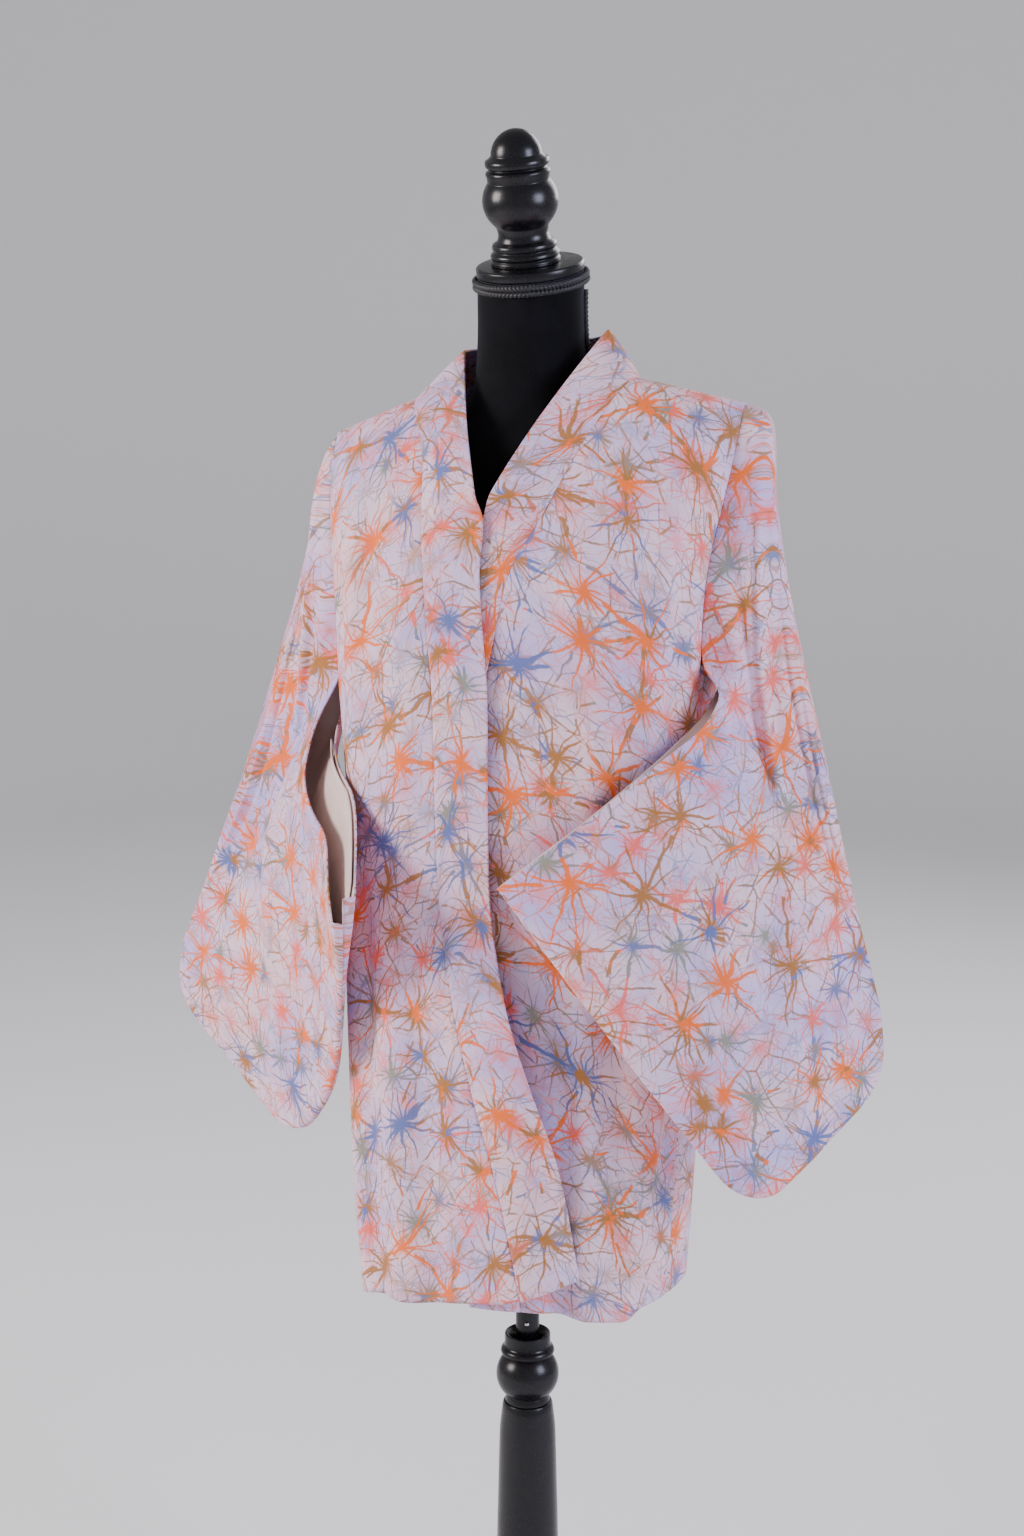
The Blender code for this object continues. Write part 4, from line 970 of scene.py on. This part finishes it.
def crease_height(creases, across, down):
    lift = 0.0
    for start_a, start_d, end_a, end_d, bow, spread, height in creases:
        run_a, run_d = end_a - start_a, end_d - start_d
        long = math.hypot(run_a, run_d)
        share = ((across - start_a) * run_a + (down - start_d) * run_d) / long**2
        if not 0.0 < share < 1.0:
            continue
        aside = ((across - start_a) * run_d - (down - start_d) * run_a) / long
        aside = (aside - bow * math.sin(math.pi * share)) / (spread * (0.7 + 0.5 * share))
        if abs(aside) < 1.6:
            profile = math.exp(-2.2 * aside * aside) * (1.0 - 0.9 * aside * aside)
            lift += height * math.sin(math.pi * share**0.8) * profile
    return lift


def armhole_edge(side, down, back):
    level = min(down / ARMHOLE_LENGTH, 1.0)
    angle = SIGN[side] * side_angle(level)
    return body_point(side, level, SIGN[side] * 180.0 - angle if back else angle)


def armhole_middle(side, down):
    return (armhole_edge(side, down, False) + armhole_edge(side, down, True)) / 2.0


def along_edge(side, edge, at):
    rows = EDGES[side][edge]
    if rows[0][1] == 0.0:
        first = armhole_middle(side, rows[0][0] if edge == 3 else 0.0)
        rows = ((rows[0][0], *first),) + rows[1:]
    return Vector([read(rows, column, at) for column in (1, 2, 3)])


CORNERS = {side: [along_edge(side, edge, at) for edge, at in
                  ((0, 0.0), (0, SLEEVE_WIDE), (2, 0.0), (2, SLEEVE_WIDE))] for side in SIGN}


def bag_middle(side, across, down):
    """The middle of the bag: the blend of its four edges over a rectangle."""
    u, v = across / SLEEVE_WIDE, down / SLEEVE_DEEP
    inner = armhole_middle(side, down) if down <= ARMHOLE_LENGTH else along_edge(side, 3, down)
    corner = CORNERS[side]
    corners = mix(mix(corner[0], corner[1], u), mix(corner[2], corner[3], u), v)
    return (mix(along_edge(side, 0, across), along_edge(side, 2, across), v)
            + mix(inner, along_edge(side, 1, down), u) - corners)


def bag_facing(side, across, down):
    furi, cuff = FACING[side]
    free = max(ease(across / 0.14), ease((down - ARMHOLE_LENGTH) / 0.16))
    turn = math.radians(mix(furi, cuff, ease(across / SLEEVE_WIDE)) * free)
    return Vector((math.sin(turn), -math.cos(turn), 0.0))


def fold_round(metres, radius):
    """Rises from 0 at a folded or sewn edge to 1, in a quarter round."""
    return math.sqrt(1.0 - (1.0 - min(max(metres / radius, 0.0), 1.0))**2)


def half_gap(side, across, down, deepest):
    """Half the space between the layers; it closes at the top fold, the foot and the outer seam."""
    share = min(down / deepest, 1.0)
    rounded = math.sqrt(max(1.0 - abs(2.0 * share - 1.0)**6, 0.0))
    belly = 0.0045 + (0.0085 if side == "left" else 0.0095) * math.sin(math.pi * share)**1.5
    flat = 0.0036 + (belly - 0.0036) * rounded
    flat *= fold_round(down, 0.007) * fold_round(deepest - down, 0.006)
    sewn = ease((down - CUFF_OPEN) / 0.012)
    flat *= 1.0 - sewn * (1.0 - fold_round(SLEEVE_WIDE - across, 0.008))
    if down <= ARMHOLE_LENGTH:
        inner = (armhole_edge(side, down, True).y - armhole_edge(side, down, False).y) / 2.0
    else:
        low = armhole_edge(side, ARMHOLE_LENGTH, False).y
        high = armhole_edge(side, ARMHOLE_LENGTH, True).y
        gape = 0.006 if side == "left" else 0.011
        inner = mix((high - low) / 2.0, gape, ease((down - ARMHOLE_LENGTH) / 0.10))
        inner = mix(inner, 0.0036, ease((share - 0.9) / 0.1)) if side == "left" else inner
        inner *= fold_round(deepest - down, 0.004)
    return mix(inner, flat, ease(across / 0.13))


def lie_clear(point, clearance):
    """Moves a point outwards until it is clear of the jacket's body."""
    side = "left" if point.x > 0 else "right"
    fall = (CHEST_Z + WORN_TILT * point.x) - point.z
    if fall < -0.02:
        return point
    level = 1.0 + min(max(fall, 0.0) / 0.60, 1.0)
    wide, deep = half_width(side, level), depth(level, point.y > 0)
    near = (abs(point.x / wide)**ROUND + abs(point.y / deep)**ROUND)**(1.0 / ROUND)
    wanted = 1.0 + clearance / 0.13
    if near >= wanted or near < 0.2:
        return point
    push = mix(1.0, wanted / near, ease((fall + 0.02) / 0.05))
    return Vector((point.x * push, point.y * push, point.z))


def sleeve_cloth(side, across, down, deepest, front, inside=0.0):
    flat_across = across
    if side == "right" and front and down > ARMHOLE_LENGTH:
        across += read(RIGHT_ROLL, 1, down) * (1.0 - ease(across / 0.16))
    gap = half_gap(side, across, down, deepest)
    out = bag_facing(side, across, down) * (1.0 if front else -1.0)
    point = bag_middle(side, across, down) + out * max(gap - inside, 0.0)
    clearance = (0.008 + 2.0 * min(gap, 0.009)) if front else (0.008 + inside)
    clearance *= 0.8 if side == "right" else 1.0
    free = max(ease(across / 0.05), ease((down - ARMHOLE_LENGTH) / 0.03))
    point = mix(point, lie_clear(point, clearance), free)
    if inside:
        return point
    open_bag = (fold_round(down, 0.03) * fold_round(deepest - down, 0.03)
                * fold_round(flat_across, 0.03) * fold_round(SLEEVE_WIDE - across, 0.03))
    lift = crease_height(FRONT_CREASES[side] if front else BACK_CREASES, across, down)
    lift += rumple(point, 0.0030)
    if not front and across < 0.15:
        lift = -abs(lift) * 0.5
    lift *= open_bag
    if down < ARMHOLE_LENGTH:
        lift += seam_dip(flat_across)
    return point + out * lift


def deepest_at(across):
    past = across - (SLEEVE_WIDE - 0.045)
    if past <= 0.0:
        return SLEEVE_DEEP
    return SLEEVE_DEEP - (0.045 - math.sqrt(max(0.045**2 - past**2, 0.0)))


def sleeve_place(side, across, around, inside=0.0):
    """Around runs from the foot up the back, over the top fold and down the front."""
    across = closer_at_ends(across, 0.75) * SLEEVE_WIDE
    across = min(across, SLEEVE_WIDE - 0.0008)
    share = abs(2.0 * around - 1.0)
    share = closer_at_ends(share, 0.75)
    deepest = deepest_at(across)
    return sleeve_cloth(side, across, share * deepest, deepest, around > 0.5, inside)


def sleeve_chart(side, across, around):
    """The cloth's metres on a sleeve, whose layers are nearly flat: along its face, and up."""
    point = sleeve_place(side, across, around, 1e-6)
    turn = math.radians(sum(FACING[side]) / 2.0)
    aside = point.x * math.cos(turn) + point.y * math.sin(turn)
    leaning = mix(0.8, 0.3, ease(abs(2.0 * around - 1.0) / 0.3))
    through = SIGN[side] * leaning * (point.y * math.cos(turn) - point.x * math.sin(turn))
    front = around > 0.5
    return ((2.4 if side == "left" else 3.1) + through + (aside if front else 0.63 - aside),
            point.z + (0.0 if front else 0.31))


for side in ("left", "right"):
    bag = bmesh.new()
    laid(bag, 44, 132, lambda across, around: sleeve_place(side, across, around),
         chart=lambda across, around: sleeve_chart(side, across, around))
    sleeve = cloth_piece(f"{side}_sleeve_bag", bag, f"sleeve_{side}", doubles=0.0004)


def lining_place(across, down):
    across = mix(0.0022, 0.125, across)
    return sleeve_cloth("right", across, mix(0.29, 0.475, down), SLEEVE_DEEP, False, 0.0036)


facing = bmesh.new()
laid(facing, 16, 34, lining_place)
lining = shown("right_sleeve_lining", facing, LINING, "sleeve_lining_right")
thick = lining.modifiers.new("wall", "SOLIDIFY")
thick.thickness = 0.001
thick.offset = 0.0


# ---------------------------------------------------------------- collar band
# The eri: one long band of the same silk, folded double, from the hem of one front up round the
# neck and down the other. It stands at the neck and folds outwards a little above the chest.

NECK_SIDE = {"left": Vector((0.0760, 0.004, 1.4320)), "right": Vector((-0.0640, 0.004, 1.4130))}
NECK_REAR = Vector((0.0, 0.062, 1.4200))
V_POINT = Vector((0.0, -0.128, 1.273))
V_LEVEL = 0.478
V_STEPS = ((0.0, 0.0), (0.03, 0.14), (0.10, 0.30), (0.22, 0.53), (0.38, 0.80), (V_LEVEL, 1.0))


def front_band(side, level):
    """Seam edge, middle and free edge of the band at one level of a front."""
    table = RIGHT_EDGES if side == "right" else LEFT_EDGES
    start = seam_angle(side, level)
    seam = body_point(side, level, start, front_lift(side, level, start))
    if level >= V_LEVEL:
        end = angle_of(side, level, read(table, 2, level))
        half = (start + end) / 2.0
        return (seam, body_point(side, level, half, front_lift(side, level, half) + 0.0005),
                body_point(side, level, end, front_lift(side, level, end) + 0.0005))
    share = read(V_STEPS, 1, level)
    bow = math.sin(math.pi * share)
    free = mix(NECK_SIDE[side], V_POINT, share)
    free += Vector((SIGN[side] * -0.001 * bow, -0.012 * bow - front_lift(side, level, 0.0), 0.0))
    out = (free - seam).cross(Vector((0.0, 0.0, 1.0))).normalized()
    return seam, (seam + free) / 2.0 + (out if out.y < 0 else -out) * 0.003, free


def neck_band(side, share):
    seam = neck_back(side, share)
    turn = share * math.pi / 2.0
    free = Vector((NECK_SIDE[side].x * math.cos(turn),
                   mix(NECK_SIDE[side].y, NECK_REAR.y, math.sin(turn)),
                   mix(NECK_SIDE[side].z, NECK_REAR.z, share)))
    return seam, (seam + free) / 2.0 + Vector((0.0, 0.0, 0.002)), free


def band_place(across, along):
    """Along runs from the hem of the wearer's left front, round the neck, to the right hem."""
    part = abs(2.0 * along - 1.0)
    side = "left" if along < 0.5 else "right"
    if part < 0.14:
        seam, middle, free = neck_band(side, 1.0 - part / 0.14)
    else:
        seam, middle, free = front_band(side, level_down((part - 0.14) / 0.86))
    across = closer_at_ends(across)
    point = (seam * (1.0 - across) * (1.0 - 2.0 * across) + middle * 4.0 * across * (1.0 - across)
             + free * across * (2.0 * across - 1.0))
    out = Vector((point.x * 0.4, -1.0 if part > 0.14 else 1.0, 0.3)).normalized()
    crown = 0.0011 * math.sin(math.pi * across) + rumple(point, 0.0012) * math.sin(math.pi * across)
    return point + out * (crown + seam_dip(across * 0.052))


band = bmesh.new()
laid(band, 12, 260, band_place, (3.7, 0.0))
collar = cloth_piece("collar_band", band, "collar", wall=0.0024, inner=SILK)
